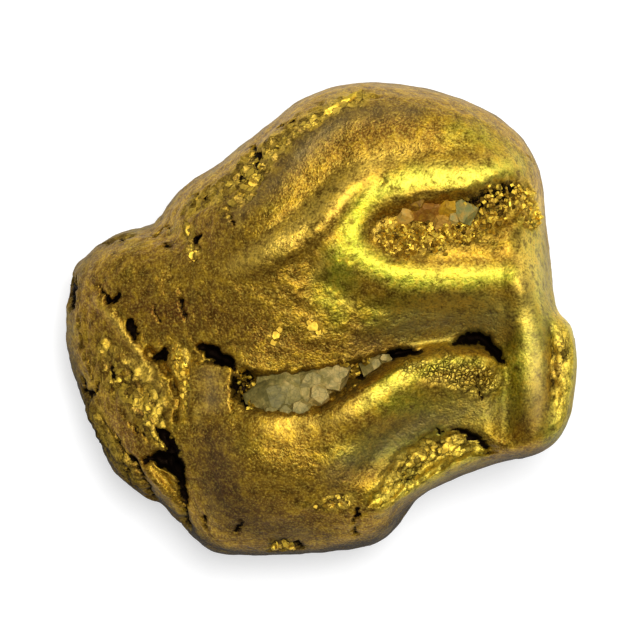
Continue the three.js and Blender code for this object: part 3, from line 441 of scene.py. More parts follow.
def roughen(points, quads, top, tab):
    part = nugget
    x, y = points[:, 0], points[:, 1]
    astray = 0.3 * np.column_stack([noiseAt(points, 0.8, 2, seed) for seed in (7, 8)])
    x, y = x + astray[:, 0], y + astray[:, 1]
    torn, grit = np.zeros(len(points)), np.zeros(len(points))
    for label, stroke in part["torn"].items():
        patch = np.where(top, strokeField(stroke, 2.5, x, y), 0)
        torn = np.maximum(torn, patch)
        grit = np.maximum(grit, patch * part["grit"][label])
    torn, grit = torn * (1 - tab), grit * (1 - tab)
    smooth = np.zeros(len(points))
    for label in part["polished"]:
        smooth = np.maximum(smooth, strokeField(part["ridges"][label], 2.5, x, y) > 0.02)
    smooth = np.maximum(relax(smooth, quads, 12), tab)
    normal = normalsOf(relax(points, quads, 4), quads)
    dents = 0.06 * noiseAt(points, 1.6, 2, 1)
    grain = (1 - 0.7 * smooth) * (0.018 * noiseAt(points, 0.5, 2, 2) + 0.006 * noiseAt(points, 0.2, 1, 3))
    leaf, shade, shine = np.zeros(len(points)), np.zeros(len(points)), np.zeros(len(points))
    there = np.flatnonzero(torn > 0.02)
    for size, share, seed in ((0.8, 0.5, 3), (0.36, 0.9, 4)):
        height, edge, tone = leavesAt(points[there], size, seed)
        leaf[there] += share * torn[there] * height
        dark = ease(0.14, 0.0, edge) + 0.4 * ease(-0.1, -0.5, tone)
        shade[there] = np.maximum(shade[there], torn[there] * dark)
        shine[there] += torn[there] * ease(-0.1, 0.4, tone)
    pebbled = np.zeros(len(points))
    for label in part["pebbly"]:
        pebbled = np.maximum(pebbled, strokeField(part["torn"][label], 2.5, x, y))
    leaf, shade = leaf * (1 - 0.4 * pebbled), shade * (1 - pebbled)
    weather = 1 + 1.6 * ease(-4.0, -6.0, x)
    low = relax(np.where(top, 0, 1.0), quads, 30)
    knocks = low * (0.2 * noiseAt(points, 2.6, 2, 12) - 0.16 * ease(0.25, 0.7, noiseAt(points, 0.9, 3, 9)))
    points = points + normal * (dents + grain * weather + knocks + leaf - 0.05 * shade)[:, None]
    x, y = points[:, 0], points[:, 1]
    rng = np.random.default_rng(5)
    strewn = np.column_stack([rng.normal(0.3, 1.3, 160), rng.normal(1.0, 1.3, 160),
                              rng.uniform(0.07, 0.17, 160), rng.uniform(0.012, 0.035, 160)])
    for atX, atY, size, high in [*part["beads"], *strewn]:
        close = np.flatnonzero((np.abs(x - atX) < 3 * size) & (np.abs(y - atY) < 3 * size) & top)
        points[close, 2] += high * np.exp(-((x[close] - atX) ** 2 + (y[close] - atY) ** 2) / size**2)
    return points, grit, shade, dict(polish=smooth, pebbled=np.where(top, pebbled, 0), shine=shine, torn=torn)


def meshObject(name, points, faces, material, attributes=()):
    mesh = bpy.data.meshes.new(name)
    mesh.from_pydata(points.tolist(), [], faces if isinstance(faces, list) else faces.tolist())
    for label, values in dict(attributes).items():
        mesh.attributes.new(label, "FLOAT", "POINT").data.foreach_set("value", np.asarray(values, np.float32))
    mesh.shade_smooth()
    mesh.materials.append(material)
    piece = bpy.data.objects.new(name, mesh)
    bpy.context.collection.objects.link(piece)
    return piece


def linear(hexColour):
    # sRGB hex to the linear colour a shader takes
    parts = [int(hexColour[i:i + 2], 16) / 255 for i in (1, 3, 5)]
    return [c / 12.92 if c <= 0.04045 else ((c + 0.055) / 1.055) ** 2.4 for c in parts] + [1.0]


def addNode(tree, kind, inputs=(), **settings):
    made = tree.nodes.new(kind)
    for name, value in settings.items():
        setattr(made, name, value)
    for socket, value in dict(inputs).items():
        if isinstance(value, bpy.types.NodeSocket):
            tree.links.new(value, made.inputs[socket])
        else:
            made.inputs[socket].default_value = value
    return made


def newMaterial(name):
    material = bpy.data.materials.new(name)
    material.use_nodes = True
    tree = material.node_tree
    tree.nodes.clear()
    return material, tree


def brokenCells(tree, place, size, ragged):
    # cells of a size in millimetres with edges that wander: a colour to each, and the distance from its edge
    wander = addNode(tree, "ShaderNodeTexNoise", {
        "Vector": place, "Scale": perMetre / size, "Detail": 3.0}).outputs["Color"]
    astray = addNode(tree, "ShaderNodeVectorMath", {0: wander, 1: (ragged * mm,) * 3, 2: place},
                     operation="MULTIPLY_ADD").outputs[0]
    cell = addNode(tree, "ShaderNodeTexVoronoi", {"Vector": astray, "Scale": perMetre / size})
    edge = addNode(tree, "ShaderNodeTexVoronoi", {"Vector": astray, "Scale": perMetre / size},
                   feature="DISTANCE_TO_EDGE")
    return cell.outputs["Color"], edge.outputs["Distance"]


def leanCells(tree, normal, cells, spread, offset, share):
    # every cell leans the normal its own way
    lean = addNode(tree, "ShaderNodeVectorMath", {0: cells, 1: spread, 2: offset},
                   operation="MULTIPLY_ADD").outputs[0]
    lean = addNode(tree, "ShaderNodeVectorMath", {0: lean, "Scale": share}, operation="SCALE").outputs[0]
    lean = addNode(tree, "ShaderNodeVectorMath", {0: normal, 1: lean}).outputs[0]
    return addNode(tree, "ShaderNodeVectorMath", {0: lean}, operation="NORMALIZE").outputs[0]


def nativeGold():
    # River-rolled gold: satin and finely pitted, so its highlights break up into grains; lime where it is
    # rubbed clean, with painted highlight laid on where the light falls brightest; dull under a brown iron
    # film and patina that also stand for painted floor reflection on the rims and painted shade on the side
    # away from the light; near black with grime and painted shade in creases, and black in the deep cracks as
    # soil and painted shadow.
    material, tree = newMaterial("native_gold_water_worn")
    place = addNode(tree, "ShaderNodeTexCoord").outputs["Object"]
    field = {label: addNode(tree, "ShaderNodeAttribute", attribute_name=label).outputs["Fac"]
             for label in ("lime", "patinaAndShade", "paintedHighlight", "filmAndSheen", "grimeAndShade", "polish", "pebbled", "torn", "soilAndShadow")}
    pattern = {}
    for label, size, detail in (("mottle", 1.3, 4.0), ("blotch", 0.4, 3.0), ("speckle", 0.09, 2.0)):
        pattern[label] = addNode(tree, "ShaderNodeTexNoise", {
            "Vector": place, "Scale": perMetre / size, "Detail": detail, "Roughness": 0.65}).outputs["Fac"]
    pattern["pebble"] = addNode(tree, "ShaderNodeTexVoronoi", {"Vector": place, "Scale": perMetre / 0.17},
                                feature="DISTANCE_TO_EDGE").outputs["Distance"]
    pattern["leaf"], pattern["rift"] = brokenCells(tree, place, 0.3, 0.3)
    # colour, how it is laid on, the pattern it follows, from and to, its share there, the field it goes by
    layers = (
        ("#b4bc30", "MIX", "mottle", 0.35, 0.65, -0.25, 0.1, "lime", "ADD"),
        # brown patina, also painted shade on the side turned from the light
        ("#7c4c24", "MIX", "mottle", 0.3, 0.7, 1.0, 0.5, "patinaAndShade", "MULTIPLY"),
        # painted highlight, screened onto the gold where the light falls brightest
        ("#cca444", "SCREEN", "blotch", 0.35, 0.65, 0.5, 1.1, "paintedHighlight", "MULTIPLY"),
        ("#e0b42c", "MIX", "blotch", 0.5, 0.7, 0.0, 0.65, "", ""),
        ("#56390f", "MIX", "blotch", 0.5, 0.3, 0.0, 0.8, "", ""),
        ("#f2d458", "MIX", "speckle", 0.5, 0.7, 0.0, 0.5, "", ""),
        ("#4e340e", "MIX", "speckle", 0.5, 0.3, 0.0, 0.55, "", ""),
        # grey-taupe iron film, also painted reflection of the white floor on the rims
        ("#857450", "MIX", "mottle", 0.3, 0.7, 0.5, 1.0, "filmAndSheen", "MULTIPLY"),
        ("#e0c454", "MIX", "pebble", 0.1, 0.3, 0.0, 0.8, "pebbled", "MULTIPLY"),
        ("#3a260c", "MIX", "pebble", 0.12, 0.02, 0.0, 1.0, "pebbled", "MULTIPLY"),
        ("#f4d04c", "MIX", "leaf", 0.4, 0.65, 0.0, 0.8, "torn", "MULTIPLY"),
        ("#4a2e10", "MIX", "leaf", 0.4, 0.25, 0.0, 0.5, "torn", "MULTIPLY"),
        ("#1c130c", "MIX", "rift", 0.07, 0.02, 0.0, 0.8, "torn", "MULTIPLY"),
        # near black grime and painted shade in creases, hollows and on the flanks turned from the light
        ("#1c130c", "MIX", "speckle", 0.35, 0.65, 1.4, 1.0, "grimeAndShade", "MULTIPLY"),
        # black in the deep hollows: soil and painted shadow
        ("#1c130c", "MIX", "speckle", 0.35, 0.65, -0.9, -1.9, "soilAndShadow", "ADD"),
    )
    skin = linear("#a67f28")
    for colour, laid, label, low, high, atLow, atHigh, scaled, operation in layers:
        share = addNode(tree, "ShaderNodeMapRange", {
            "Value": pattern[label], "From Min": low, "From Max": high, "To Min": atLow, "To Max": atHigh,
            }).outputs["Result"]
        if scaled:
            share = addNode(tree, "ShaderNodeMath", {0: share, 1: field[scaled]}, operation=operation,
                            use_clamp=True).outputs[0]
        skin = addNode(tree, "ShaderNodeMix", {0: share, 6: skin, 7: linear(colour)}, data_type="RGBA",
                       blend_type=laid).outputs[2]
    rough = addNode(tree, "ShaderNodeMapRange", {
        "Value": pattern["speckle"], "From Min": 0.3, "From Max": 0.7, "To Min": 0.48, "To Max": 0.58,
        }).outputs["Result"]
    for label, amount in (("filmAndSheen", 0.1), ("grimeAndShade", 0.3)):
        rough = addNode(tree, "ShaderNodeMath", {0: field[label], 1: amount, 2: rough},
                        operation="MULTIPLY_ADD").outputs[0]
    pitted = addNode(tree, "ShaderNodeMapRange", {
        "Value": field["polish"], "From Min": 0.0, "From Max": 1.0, "To Min": 1.0, "To Max": 0.45,
        }).outputs["Result"]
    bump = addNode(tree, "ShaderNodeBump", {
        "Height": pattern["blotch"], "Strength": pitted, "Distance": 0.075 * mm}).outputs["Normal"]
    bump = addNode(tree, "ShaderNodeBump", {
        "Height": pattern["speckle"], "Strength": pitted, "Distance": 0.03 * mm, "Normal": bump,
        }).outputs["Normal"]
    bump = addNode(tree, "ShaderNodeBump", {
        "Height": pattern["pebble"], "Strength": field["pebbled"], "Distance": 0.1 * mm, "Normal": bump,
        }).outputs["Normal"]
    bump = leanCells(tree, bump, pattern["leaf"], (0.9, 0.9, 0.0), (-0.45, -0.42, 0.7), field["torn"])
    shader = addNode(tree, "ShaderNodeBsdfPrincipled", {
        "Base Color": skin, "Metallic": 1.0, "Roughness": rough, "Normal": bump})
    addNode(tree, "ShaderNodeOutputMaterial", {"Surface": shader.outputs["BSDF"]})
    return material


# soft patches of colour on the gold: lime where it is cleanest, painted highlight where the light falls
# brightest, brown patina and painted shade, iron film and painted floor reflection, painted shade strokes,
# and black in hollows as soil and painted shadow
tints = dict(
    lime=dict(
        collarLow=[(7.4, 1.8, 0.8, 0.8, 0.9), (5.6, 1.6, 0.9, 0.9, 1.0), (3.6, 1.6, 0.9, 0.9, 1.0),
                   (1.9, 2.2, 1.0, 1.0, 1.0), (1.2, 3.4, 0.9, 0.9, 1.0), (1.9, 4.7, 0.8, 0.8, 1.0),
                   (3.6, 5.4, 0.9, 0.7, 1.1), (5.6, 5.5, 0.9, 0.7, 1.1), (7.2, 5.9, 0.9, 0.7, 1.0)],
        foreheadRight=[(4.8, 7.6, 1.4, 1.4, 0.25), (6.6, 7.0, 1.4, 1.4, 0.4), (7.8, 6.0, 1.2, 1.2, 0.4)],
        lip=[(1.6, -3.3, 0.6, 0.6, 0.6), (2.8, -2.4, 0.7, 0.7, 0.9), (4.6, -1.7, 0.6, 0.8, 0.8),
             (6.2, -1.6, 0.5, 0.6, 0.6)],
        cheek=[(0.9, 2.6, 1.3, 1.3, 0.8), (0.6, 1.2, 1.5, 1.5, 0.7), (0.6, 0.0, 1.3, 1.3, 0.5)],
        lowerRight=[(2.4, -3.0, 1.0, 1.2, 0.5), (4.5, -3.4, 1.8, 1.8, 0.6), (6.8, -3.4, 1.8, 1.8, 0.6),
                    (8.2, -1.0, 1.8, 1.8, 0.9), (8.6, 1.0, 1.6, 1.6, 0.8), (8.4, 3.6, 1.2, 1.2, 0.6)],
        jawRight=[(0.4, -5.4, 1.2, 1.4, 0.4), (2.4, -5.0, 1.4, 1.6, 0.8), (4.6, -4.4, 1.2, 1.2, 0.8)],
        flange=[(9.8, 0.0, 0.8, 0.8, 0.7), (9.9, -2.0, 0.9, 0.9, 0.9), (9.2, -4.2, 1.4, 1.4, 0.9)],
        brow=[(2.2, 0.0, 1.5, 1.5, 0.7), (4.5, 0.0, 1.6, 1.6, 0.9), (6.6, 0.0, 1.6, 1.6, 0.9)],
        hollow=[(2.4, -7.0, 1.2, 1.0, 0.7), (4.0, -6.0, 1.4, 1.2, 0.8), (6.0, -5.2, 1.2, 1.0, 0.7)],
    ),
    # brown patina, partly painted shade: on the forehead it damps the highlight, on the left, knob and jaw it
    # darkens the side turned from the light
    patinaAndShade=dict(
        forehead=[(0.6, 6.6, 0.9, 0.9, 0.5), (2.4, 7.4, 1.0, 1.0, 0.7), (4.4, 7.3, 0.9, 0.9, 0.4)],
        flank=[(-7.0, 2.6, 1.6, 1.6, 0.4), (-4.6, 3.2, 1.6, 1.6, 0.5), (-3.0, 5.4, 1.4, 1.4, 0.4),
               (-0.6, 8.0, 1.2, 1.2, 0.3)],
        cheekLeft=[(-7.2, 0.6, 1.5, 1.5, 1.1), (-5.6, 0.3, 1.6, 1.6, 1.1), (-4.0, 0.3, 1.6, 1.6, 0.8),
                   (-2.0, -0.8, 1.4, 1.4, 0.6), (0.6, -1.2, 1.0, 1.0, 0.3)],
        knob=[(-9.0, 1.4, 1.6, 1.6, 0.6), (-8.6, -0.8, 1.6, 1.6, 0.8), (-7.6, -2.6, 1.7, 1.7, 0.8),
              (-7.6, -5.0, 1.8, 1.8, 0.8)],
        jaw=[(-4.4, -4.6, 1.5, 1.5, 0.9), (-4.0, -6.2, 1.9, 1.9, 1.1), (-3.0, -7.8, 1.9, 1.9, 1.1),
             (-0.6, -8.0, 1.7, 1.7, 0.8), (1.6, -7.6, 1.2, 1.2, 0.4)],
    ),
    # painted highlights: the gold made brighter where the light falls on ridge, ring, lip, brow, hollow,
    # flange and column
    paintedHighlight=dict(
        ridge=[(-3.6, 2.0, 0.5, 0.5, 0.6), (-2.3, 2.6, 0.8, 0.8, 1.3), (-0.8, 3.6, 0.9, 0.9, 1.4),
               (0.4, 4.7, 1.0, 1.0, 1.2), (1.7, 5.9, 0.9, 0.9, 0.8), (3.6, 6.6, 0.8, 0.8, 0.4)],
        ringTop=[(2.0, 4.9, 0.8, 0.6, 0.7), (3.8, 5.4, 1.0, 0.7, 1.1), (5.8, 5.5, 1.1, 0.7, 1.2),
                 (7.4, 5.9, 1.0, 0.6, 1.1)],
        ringLow=[(1.2, 3.6, 0.6, 0.6, 0.2), (2.0, 2.2, 0.6, 0.7, 0.3), (4.0, 1.7, 0.6, 0.7, 0.5),
                 (6.0, 1.8, 0.6, 0.7, 0.6), (7.4, 2.0, 0.6, 0.6, 0.4)],
        pocketFloor=[(2.6, 3.5, 0.6, 0.6, 0.8), (3.6, 3.2, 0.9, 0.9, 1.0), (4.8, 3.4, 0.8, 0.8, 0.8)],
        pocketRight=[(7.7, 5.4, 0.5, 0.5, 0.9), (8.2, 4.8, 0.8, 0.8, 2.2), (8.4, 4.0, 0.8, 0.8, 1.8)],
        lip=[(-2.2, -4.1, 0.3, 0.5, 0.4), (-0.6, -4.0, 0.4, 0.6, 0.6), (0.6, -3.8, 0.4, 0.6, 0.7),
             (1.8, -3.1, 0.45, 0.5, 1.2), (2.8, -2.5, 0.45, 0.5, 1.3), (3.6, -1.9, 0.35, 0.35, 1.1),
             (4.6, -1.35, 0.25, 0.25, 0.8), (6.0, -1.2, 0.2, 0.2, 0.6)],
        hollow=[(2.6, -6.7, 0.8, 0.8, 1.8), (3.6, -5.8, 1.2, 1.2, 2.4), (4.9, -5.2, 1.1, 1.1, 2.4),
                (5.8, -5.0, 0.8, 0.8, 1.8)],
        hollowRim=[(2.2, -7.4, 0.2, 0.25, 0.5), (3.2, -6.8, 0.25, 0.3, 0.9), (4.5, -6.0, 0.3, 0.3, 1.0),
                   (5.7, -5.4, 0.25, 0.3, 0.9)],
        flange=[(9.5, 0.1, 0.7, 0.7, 1.4), (9.7, -1.2, 0.9, 0.9, 2.4), (9.7, -2.8, 0.9, 0.9, 2.4),
                (9.3, -4.0, 0.8, 0.8, 1.4)],
        columnSide=[(8.0, 3.0, 0.9, 0.9, 1.4), (8.1, 1.5, 1.0, 0.9, 2.0), (8.2, 0.0, 1.0, 0.9, 2.0),
                    (8.4, -1.6, 0.9, 0.8, 1.4), (8.5, -3.4, 0.7, 0.6, 0.3)],
        ledge=[(-8.9, 0.9, 0.12, 0.25, 0.7), (-8.0, -0.2, 0.15, 0.3, 1.3), (-7.1, -1.3, 0.15, 0.3, 1.1)],
        leafEdge=[(-7.9, -3.2, 0.2, 0.2, 0.7), (-7.0, -3.95, 0.25, 0.2, 1.4),
                  (-6.35, -4.45, 0.25, 0.2, 1.4)],
        leaf=[(-7.4, -1.6, 0.6, 0.6, 0.9), (-6.6, -2.6, 0.7, 0.7, 1.2), (-6.4, -3.8, 0.6, 0.6, 1.0)],
        flakyStrip=[(-4.2, 4.8, 0.7, 0.7, 0.7), (-3.1, 5.6, 0.8, 0.8, 1.0), (-2.2, 6.4, 0.7, 0.7, 1.1),
                    (-1.2, 7.3, 0.6, 0.6, 1.1), (-0.2, 7.9, 0.5, 0.5, 1.1), (0.8, 8.35, 0.7, 0.6, 1.6),
                    (1.7, 8.75, 0.3, 0.3, 0.8)],
        neckPatch=[(-5.3, 3.6, 0.3, 0.3, 0.7), (-5.0, 2.6, 0.35, 0.3, 0.8)],
        pocketWall=[(8.1, 5.3, 0.4, 0.4, 0.6), (8.4, 4.6, 0.7, 0.7, 1.0), (8.6, 3.6, 0.6, 0.6, 0.9)],
        columnFlank=[(8.5, 3.0, 0.6, 0.7, 1.0), (8.7, 1.2, 0.6, 0.7, 1.1), (8.7, -0.6, 0.5, 0.6, 0.8)],
        brow=[(2.6, 0.1, 0.9, 0.9, 0.7), (4.5, 0.2, 1.3, 1.3, 1.6), (6.4, 0.2, 1.3, 1.3, 1.6),
              (7.2, -0.2, 0.9, 0.9, 1.2)],
        cheekSpots=[(0.1, 2.2, 0.5, 0.5, 0.7), (-0.3, 1.6, 0.4, 0.4, 0.6)],
        cheekSpotLow=[(0.4, 0.9, 0.5, 0.5, 0.4), (1.2, 0.6, 0.5, 0.5, 0.4)],
        spots=[(-0.25, -0.1, 0.35, 0.35, 1.6), (-0.1, -0.5, 0.35, 0.35, 1.6)],
        spotLeft=[(-1.9, -0.6, 0.3, 0.3, 1.5), (-1.6, -0.9, 0.3, 0.3, 1.5)],
        spotHigh=[(-3.2, 4.3, 0.2, 0.2, 0.5), (-3.1, 3.5, 0.2, 0.2, 0.4)],
        byTab=[(-5.35, -1.4, 0.35, 0.35, 1.8), (-5.25, -2.2, 0.25, 0.25, 1.8),
               (-5.15, -3.0, 0.2, 0.2, 1.0)],
        tabFoot=[(-4.85, -3.5, 0.25, 0.25, 0.9), (-4.75, -4.1, 0.35, 0.35, 1.2)],
        lowBand=[(-0.9, -7.3, 0.2, 0.2, 0.2), (0.6, -7.2, 0.3, 0.3, 0.4), (1.3, -7.0, 0.25, 0.25, 0.4)],
    ),
    # iron film; on leftRim and columnSide it is painted reflection of the white floor, on columnCrest it
    # pales the highlight
    filmAndSheen=dict(
        band=[(-3.4, 4.0, 0.6, 0.6, 0.4), (-2.0, 5.2, 0.8, 0.8, 0.7), (-0.4, 6.8, 0.9, 0.9, 0.8),
              (1.2, 7.9, 0.8, 0.8, 0.7), (3.6, 8.1, 0.8, 0.8, 0.5)],
        leftRim=[(-6.6, 4.2, 0.8, 0.8, 0.5), (-8.8, 3.0, 0.9, 0.9, 0.6), (-9.9, 1.6, 0.8, 0.8, 0.7),
                 (-10.2, -0.8, 0.7, 0.7, 0.6), (-9.4, -3.6, 0.6, 0.6, 0.4)],
        columnSide=[(8.9, 4.0, 0.7, 0.7, 0.6), (8.9, 1.5, 0.7, 0.7, 0.7), (8.7, -1.0, 0.5, 0.5, 0.6),
                    (8.7, -3.4, 0.6, 0.6, 0.4)],
        jaw=[(-4.2, -5.0, 1.5, 1.5, 0.4), (-3.6, -7.4, 1.6, 1.6, 0.5), (-1.0, -8.4, 1.2, 1.2, 0.4)],
        jawRight=[(0.6, -6.0, 1.1, 1.1, 0.6), (2.6, -4.8, 1.3, 1.3, 0.9), (5.0, -3.7, 1.3, 1.3, 0.7),
                  (7.0, -3.4, 1.2, 1.2, 0.5)],
        brow=[(1.5, -0.9, 1.0, 1.0, 0.4), (4.0, -0.1, 1.4, 1.4, 0.9), (6.6, -0.1, 1.4, 1.4, 0.9)],
        tab=[(-4.3, -2.3, 0.9, 0.9, 0.8), (-4.25, -3.2, 0.9, 0.9, 0.8)],
        columnCrest=[(8.0, 1.5, 0.6, 0.6, 0.4), (8.3, 0.0, 0.7, 0.7, 0.5), (8.4, -2.0, 0.8, 0.8, 0.7),
                     (8.4, -3.8, 1.0, 1.0, 0.6)],
    ),
    # black at the pocket's end: soil and painted shadow
    soilAndShadow=dict(
        pocketEnd=[(5.6, 4.5, 0.6, 0.6, 0.45), (6.4, 4.7, 0.9, 0.8, 0.7), (7.4, 5.05, 0.7, 0.6, 0.7)],
    ),
    # painted shade: strokes darkening the feet, trough, jaw, pocket end, column foot and part of the forehead
    paintedShade=dict(
        columnEnd=[(8.3, -2.8, 0.8, 0.8, 0.1), (8.4, -4.0, 1.1, 1.1, 0.25)],
        columnFoot=[(7.0, -1.4, 0.5, 0.4, 0.2), (7.1, -2.4, 0.7, 0.5, 0.25), (7.1, -3.5, 0.8, 0.5, 0.25),
                    (6.9, -4.4, 0.7, 0.6, 0.2)],
        pocketEnd=[(5.0, 4.1, 0.7, 0.7, 0.4), (6.2, 4.5, 1.0, 1.0, 0.9), (7.3, 4.9, 0.7, 0.7, 0.9)],
        trough=[(0.8, -6.2, 1.0, 1.0, 0.12), (2.2, -5.2, 1.1, 1.1, 0.2), (3.6, -4.2, 0.9, 0.9, 0.15)],
        forehead=[(0.8, 6.7, 0.7, 0.7, 0.15), (2.4, 7.2, 0.8, 0.8, 0.25), (3.8, 7.2, 0.7, 0.7, 0.15)],
        footRight=[(2.4, -8.3, 0.5, 0.5, 0.3), (4.6, -6.8, 0.5, 0.5, 0.4), (7.0, -5.8, 0.5, 0.5, 0.4),
                   (8.6, -5.3, 0.5, 0.5, 0.3)],
        footLeft=[(-9.9, -1.8, 0.5, 0.5, 0.4), (-8.6, -5.4, 0.7, 0.7, 0.5), (-6.0, -7.8, 0.8, 0.8, 0.6),
                  (-3.6, -9.3, 0.7, 0.7, 0.5), (-0.5, -9.4, 0.7, 0.7, 0.5), (2.2, -8.8, 0.7, 0.7, 0.4)],
        jaw=[(-4.4, -4.6, 1.0, 1.0, 0.15), (-4.0, -6.4, 1.6, 1.6, 0.3), (-2.6, -8.2, 1.6, 1.6, 0.35),
             (0.2, -8.4, 1.4, 1.4, 0.3)],
    ),
)


def tintFields(x, y, full):
    fields = {}
    # the underside takes fixed shares: patina and painted shade, film and painted floor reflection, a little
    # painted highlight
    belly = dict(lime=0.2, patinaAndShade=0.5, paintedHighlight=0.1, filmAndSheen=0.4, soilAndShadow=0.0, paintedShade=0.3)
    for label, strokes in tints.items():
        field = np.zeros(len(x))
        for stroke in strokes.values():
            field = np.maximum(field, strokeField(stroke, 1.4, x, y))
        fields[label] = full * field + (1 - full) * belly[label]
    return fields


def buildNugget():
    points, quads, top, full = nuggetForm()
    low, high = points.min(0), points.max(0)
    boxLow, boxHigh = (np.array(corner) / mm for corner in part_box("gold_nugget"))
    shift = np.array([*((boxLow + boxHigh - low - high) / 2)[:2], boxLow[2] - low[2]])
    worn = points + shift
    points, soilAndShadow, tab = cutHollows(points, quads, top, full)
    fields = tintFields(points[:, 0], points[:, 1], np.where(top, ease(0.0, 0.5, full), 0))
    points, grit, shade, made = roughen(points, quads, top, tab)
    points[:, 2] = np.maximum(points[:, 2], low[2])
    fields.update(made)
    # the leaves' own random tone joins the painted highlight
    fields["paintedHighlight"] += 0.9 * fields.pop("shine")
    normal = normalsOf(points, quads)
    fine = np.einsum("ij,ij->i", relax(points, quads, 10) - points, normal)
    broad = np.einsum("ij,ij->i", relax(points, quads, 120) - points, normal)
    # steep faces towards -y, the side turned from the light, get painted shade
    shadedFlank = ease(0.6, 0.15, normal[:, 2]) * ease(1.0, -2.5, points[:, 1])
    broad *= ease(8.9, 8.5, points[:, 0])
    fine *= 1 - 0.6 * fields["torn"]
    fields["torn"] = fields["torn"] * (1 - fields["pebbled"])
    # painted shade with grime: darker in fine creases and broad hollows, along the leaves' dark edges, under
    # the shade strokes and on the shaded flanks
    grimeAndShade = ease(0.03, 0.12, fine) * 0.8 + ease(0.25, 0.9, broad) * 0.25 + 0.3 * shade + fields.pop("paintedShade")
    grimeAndShade += 0.45 * shadedFlank
    fields["grimeAndShade"] = np.clip(grimeAndShade, 0, 1)
    fields["soilAndShadow"] = 4 * np.maximum(soilAndShadow, fields["soilAndShadow"])
    fields["grit"] = ease(0.15, 0.7, grit) * grit
    piece = meshObject("nugget_gold", (points + shift) * mm, quads, nativeGold(), fields)
    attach(piece, "root")
    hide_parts("gold_nugget")
    print("nugget gold:", len(piece.data.polygons), "faces")
    return piece, worn[top], shift


# Loose gold grains and leaflets, radii in millimetres, strewn where the skin is torn.
grains = dict(perSquareMm=70.0, small=(0.06, 0.06, 0.05), large=(0.17, 0.14, 0.12), seed=11)


def grainTree(material):
    tree = bpy.data.node_groups.new("loose_gold_grains", "GeometryNodeTree")
    for label, kind in (("Geometry", "Geometry"), ("Per square metre", "Float"), ("Smallest", "Vector"),
                        ("Largest", "Vector"), ("Seed", "Int")):
        tree.interface.new_socket(label, in_out="INPUT", socket_type="NodeSocket" + kind)
    tree.interface.new_socket("Geometry", in_out="OUTPUT", socket_type="NodeSocketGeometry")
    given = addNode(tree, "NodeGroupInput").outputs
    grit = addNode(tree, "GeometryNodeInputNamedAttribute", {"Name": "grit"}, data_type="FLOAT")
    thick = addNode(tree, "ShaderNodeMath", {0: grit.outputs["Attribute"], 1: given["Per square metre"]},
                    operation="MULTIPLY").outputs[0]
    strewn = addNode(tree, "GeometryNodeDistributePointsOnFaces", {
        "Mesh": given["Geometry"], "Density": thick, "Seed": given["Seed"]})
    shapes = addNode(tree, "GeometryNodeGeometryToInstance")
    for shape in (addNode(tree, "GeometryNodeMeshIcoSphere", {"Radius": 1.0, "Subdivisions": 1}),
                  addNode(tree, "GeometryNodeMeshCone", {
                      "Vertices": 5, "Radius Top": 0.5, "Radius Bottom": 1.0, "Depth": 1.6}),
                  addNode(tree, "GeometryNodeMeshCube", {"Size": (1.6, 1.5, 1.3)})):
        tree.links.new(shape.outputs["Mesh"], shapes.inputs["Geometry"])
    turn = addNode(tree, "FunctionNodeRandomValue", {"Max": (6.283, 6.283, 6.283), "Seed": 1},
                   data_type="FLOAT_VECTOR")
    size = addNode(tree, "FunctionNodeRandomValue", {
        "Min": given["Smallest"], "Max": given["Largest"], "Seed": 2}, data_type="FLOAT_VECTOR")
    which = addNode(tree, "FunctionNodeRandomValue", {4: 0, 5: 2, "Seed": 3}, data_type="INT")
    placed = addNode(tree, "GeometryNodeInstanceOnPoints", {
        "Points": strewn.outputs["Points"], "Instance": shapes.outputs["Instances"], "Pick Instance": True,
        "Instance Index": which.outputs[2], "Rotation": turn.outputs[0], "Scale": size.outputs[0]})
    tone = addNode(tree, "FunctionNodeRandomValue", {"Seed": 4}, data_type="FLOAT")
    # grains come out paler where the painted highlight lies on the gold under them
    paintedHighlight = addNode(tree, "GeometryNodeInputNamedAttribute", {"Name": "paintedHighlight"}, data_type="FLOAT")
    bright = addNode(tree, "ShaderNodeMath", {0: paintedHighlight.outputs["Attribute"], 1: 0.2, 2: tone.outputs[1]},
                     operation="MULTIPLY_ADD", use_clamp=True).outputs[0]
    toned = addNode(tree, "GeometryNodeStoreNamedAttribute", {
        "Geometry": placed.outputs["Instances"], "Name": "tone", "Value": bright},
        data_type="FLOAT", domain="INSTANCE")
    solid = addNode(tree, "GeometryNodeRealizeInstances", {"Geometry": toned.outputs["Geometry"]})
    dressed = addNode(tree, "GeometryNodeSetMaterial", {
        "Geometry": solid.outputs["Geometry"], "Material": material})
    addNode(tree, "NodeGroupOutput", {"Geometry": dressed.outputs["Geometry"]})
    return tree


def grainGold():
    # Unworn crystal grains: flat facets that each catch the light, paler and shinier than the worn skin.
    material, tree = newMaterial("native_gold_crystal_grains")
    place = addNode(tree, "ShaderNodeTexCoord").outputs["Object"]
    tone = addNode(tree, "ShaderNodeAttribute", attribute_name="tone").outputs["Fac"]
    grey = addNode(tree, "ShaderNodeTexNoise", {
        "Vector": place, "Scale": perMetre / 0.12, "Detail": 2.0}).outputs["Fac"]
    hue = addNode(tree, "ShaderNodeValToRGB", {"Fac": tone})
    hue.color_ramp.elements[0].color = linear("#3a280e")
    hue.color_ramp.elements[1].color = linear("#e6c848")
    for position, colour in ((0.25, "#9a7a2c"), (0.7, "#ccaa3c")):
        hue.color_ramp.elements.new(position).color = linear(colour)
    rough = addNode(tree, "ShaderNodeMapRange", {"Value": grey, "From Min": 0.3, "From Max": 0.7,
                                                 "To Min": 0.5, "To Max": 0.7}).outputs["Result"]
    shader = addNode(tree, "ShaderNodeBsdfPrincipled", {
        "Base Color": hue.outputs["Color"], "Metallic": 1.0, "Roughness": rough})
    addNode(tree, "ShaderNodeOutputMaterial", {"Surface": shader.outputs["BSDF"]})
    return material


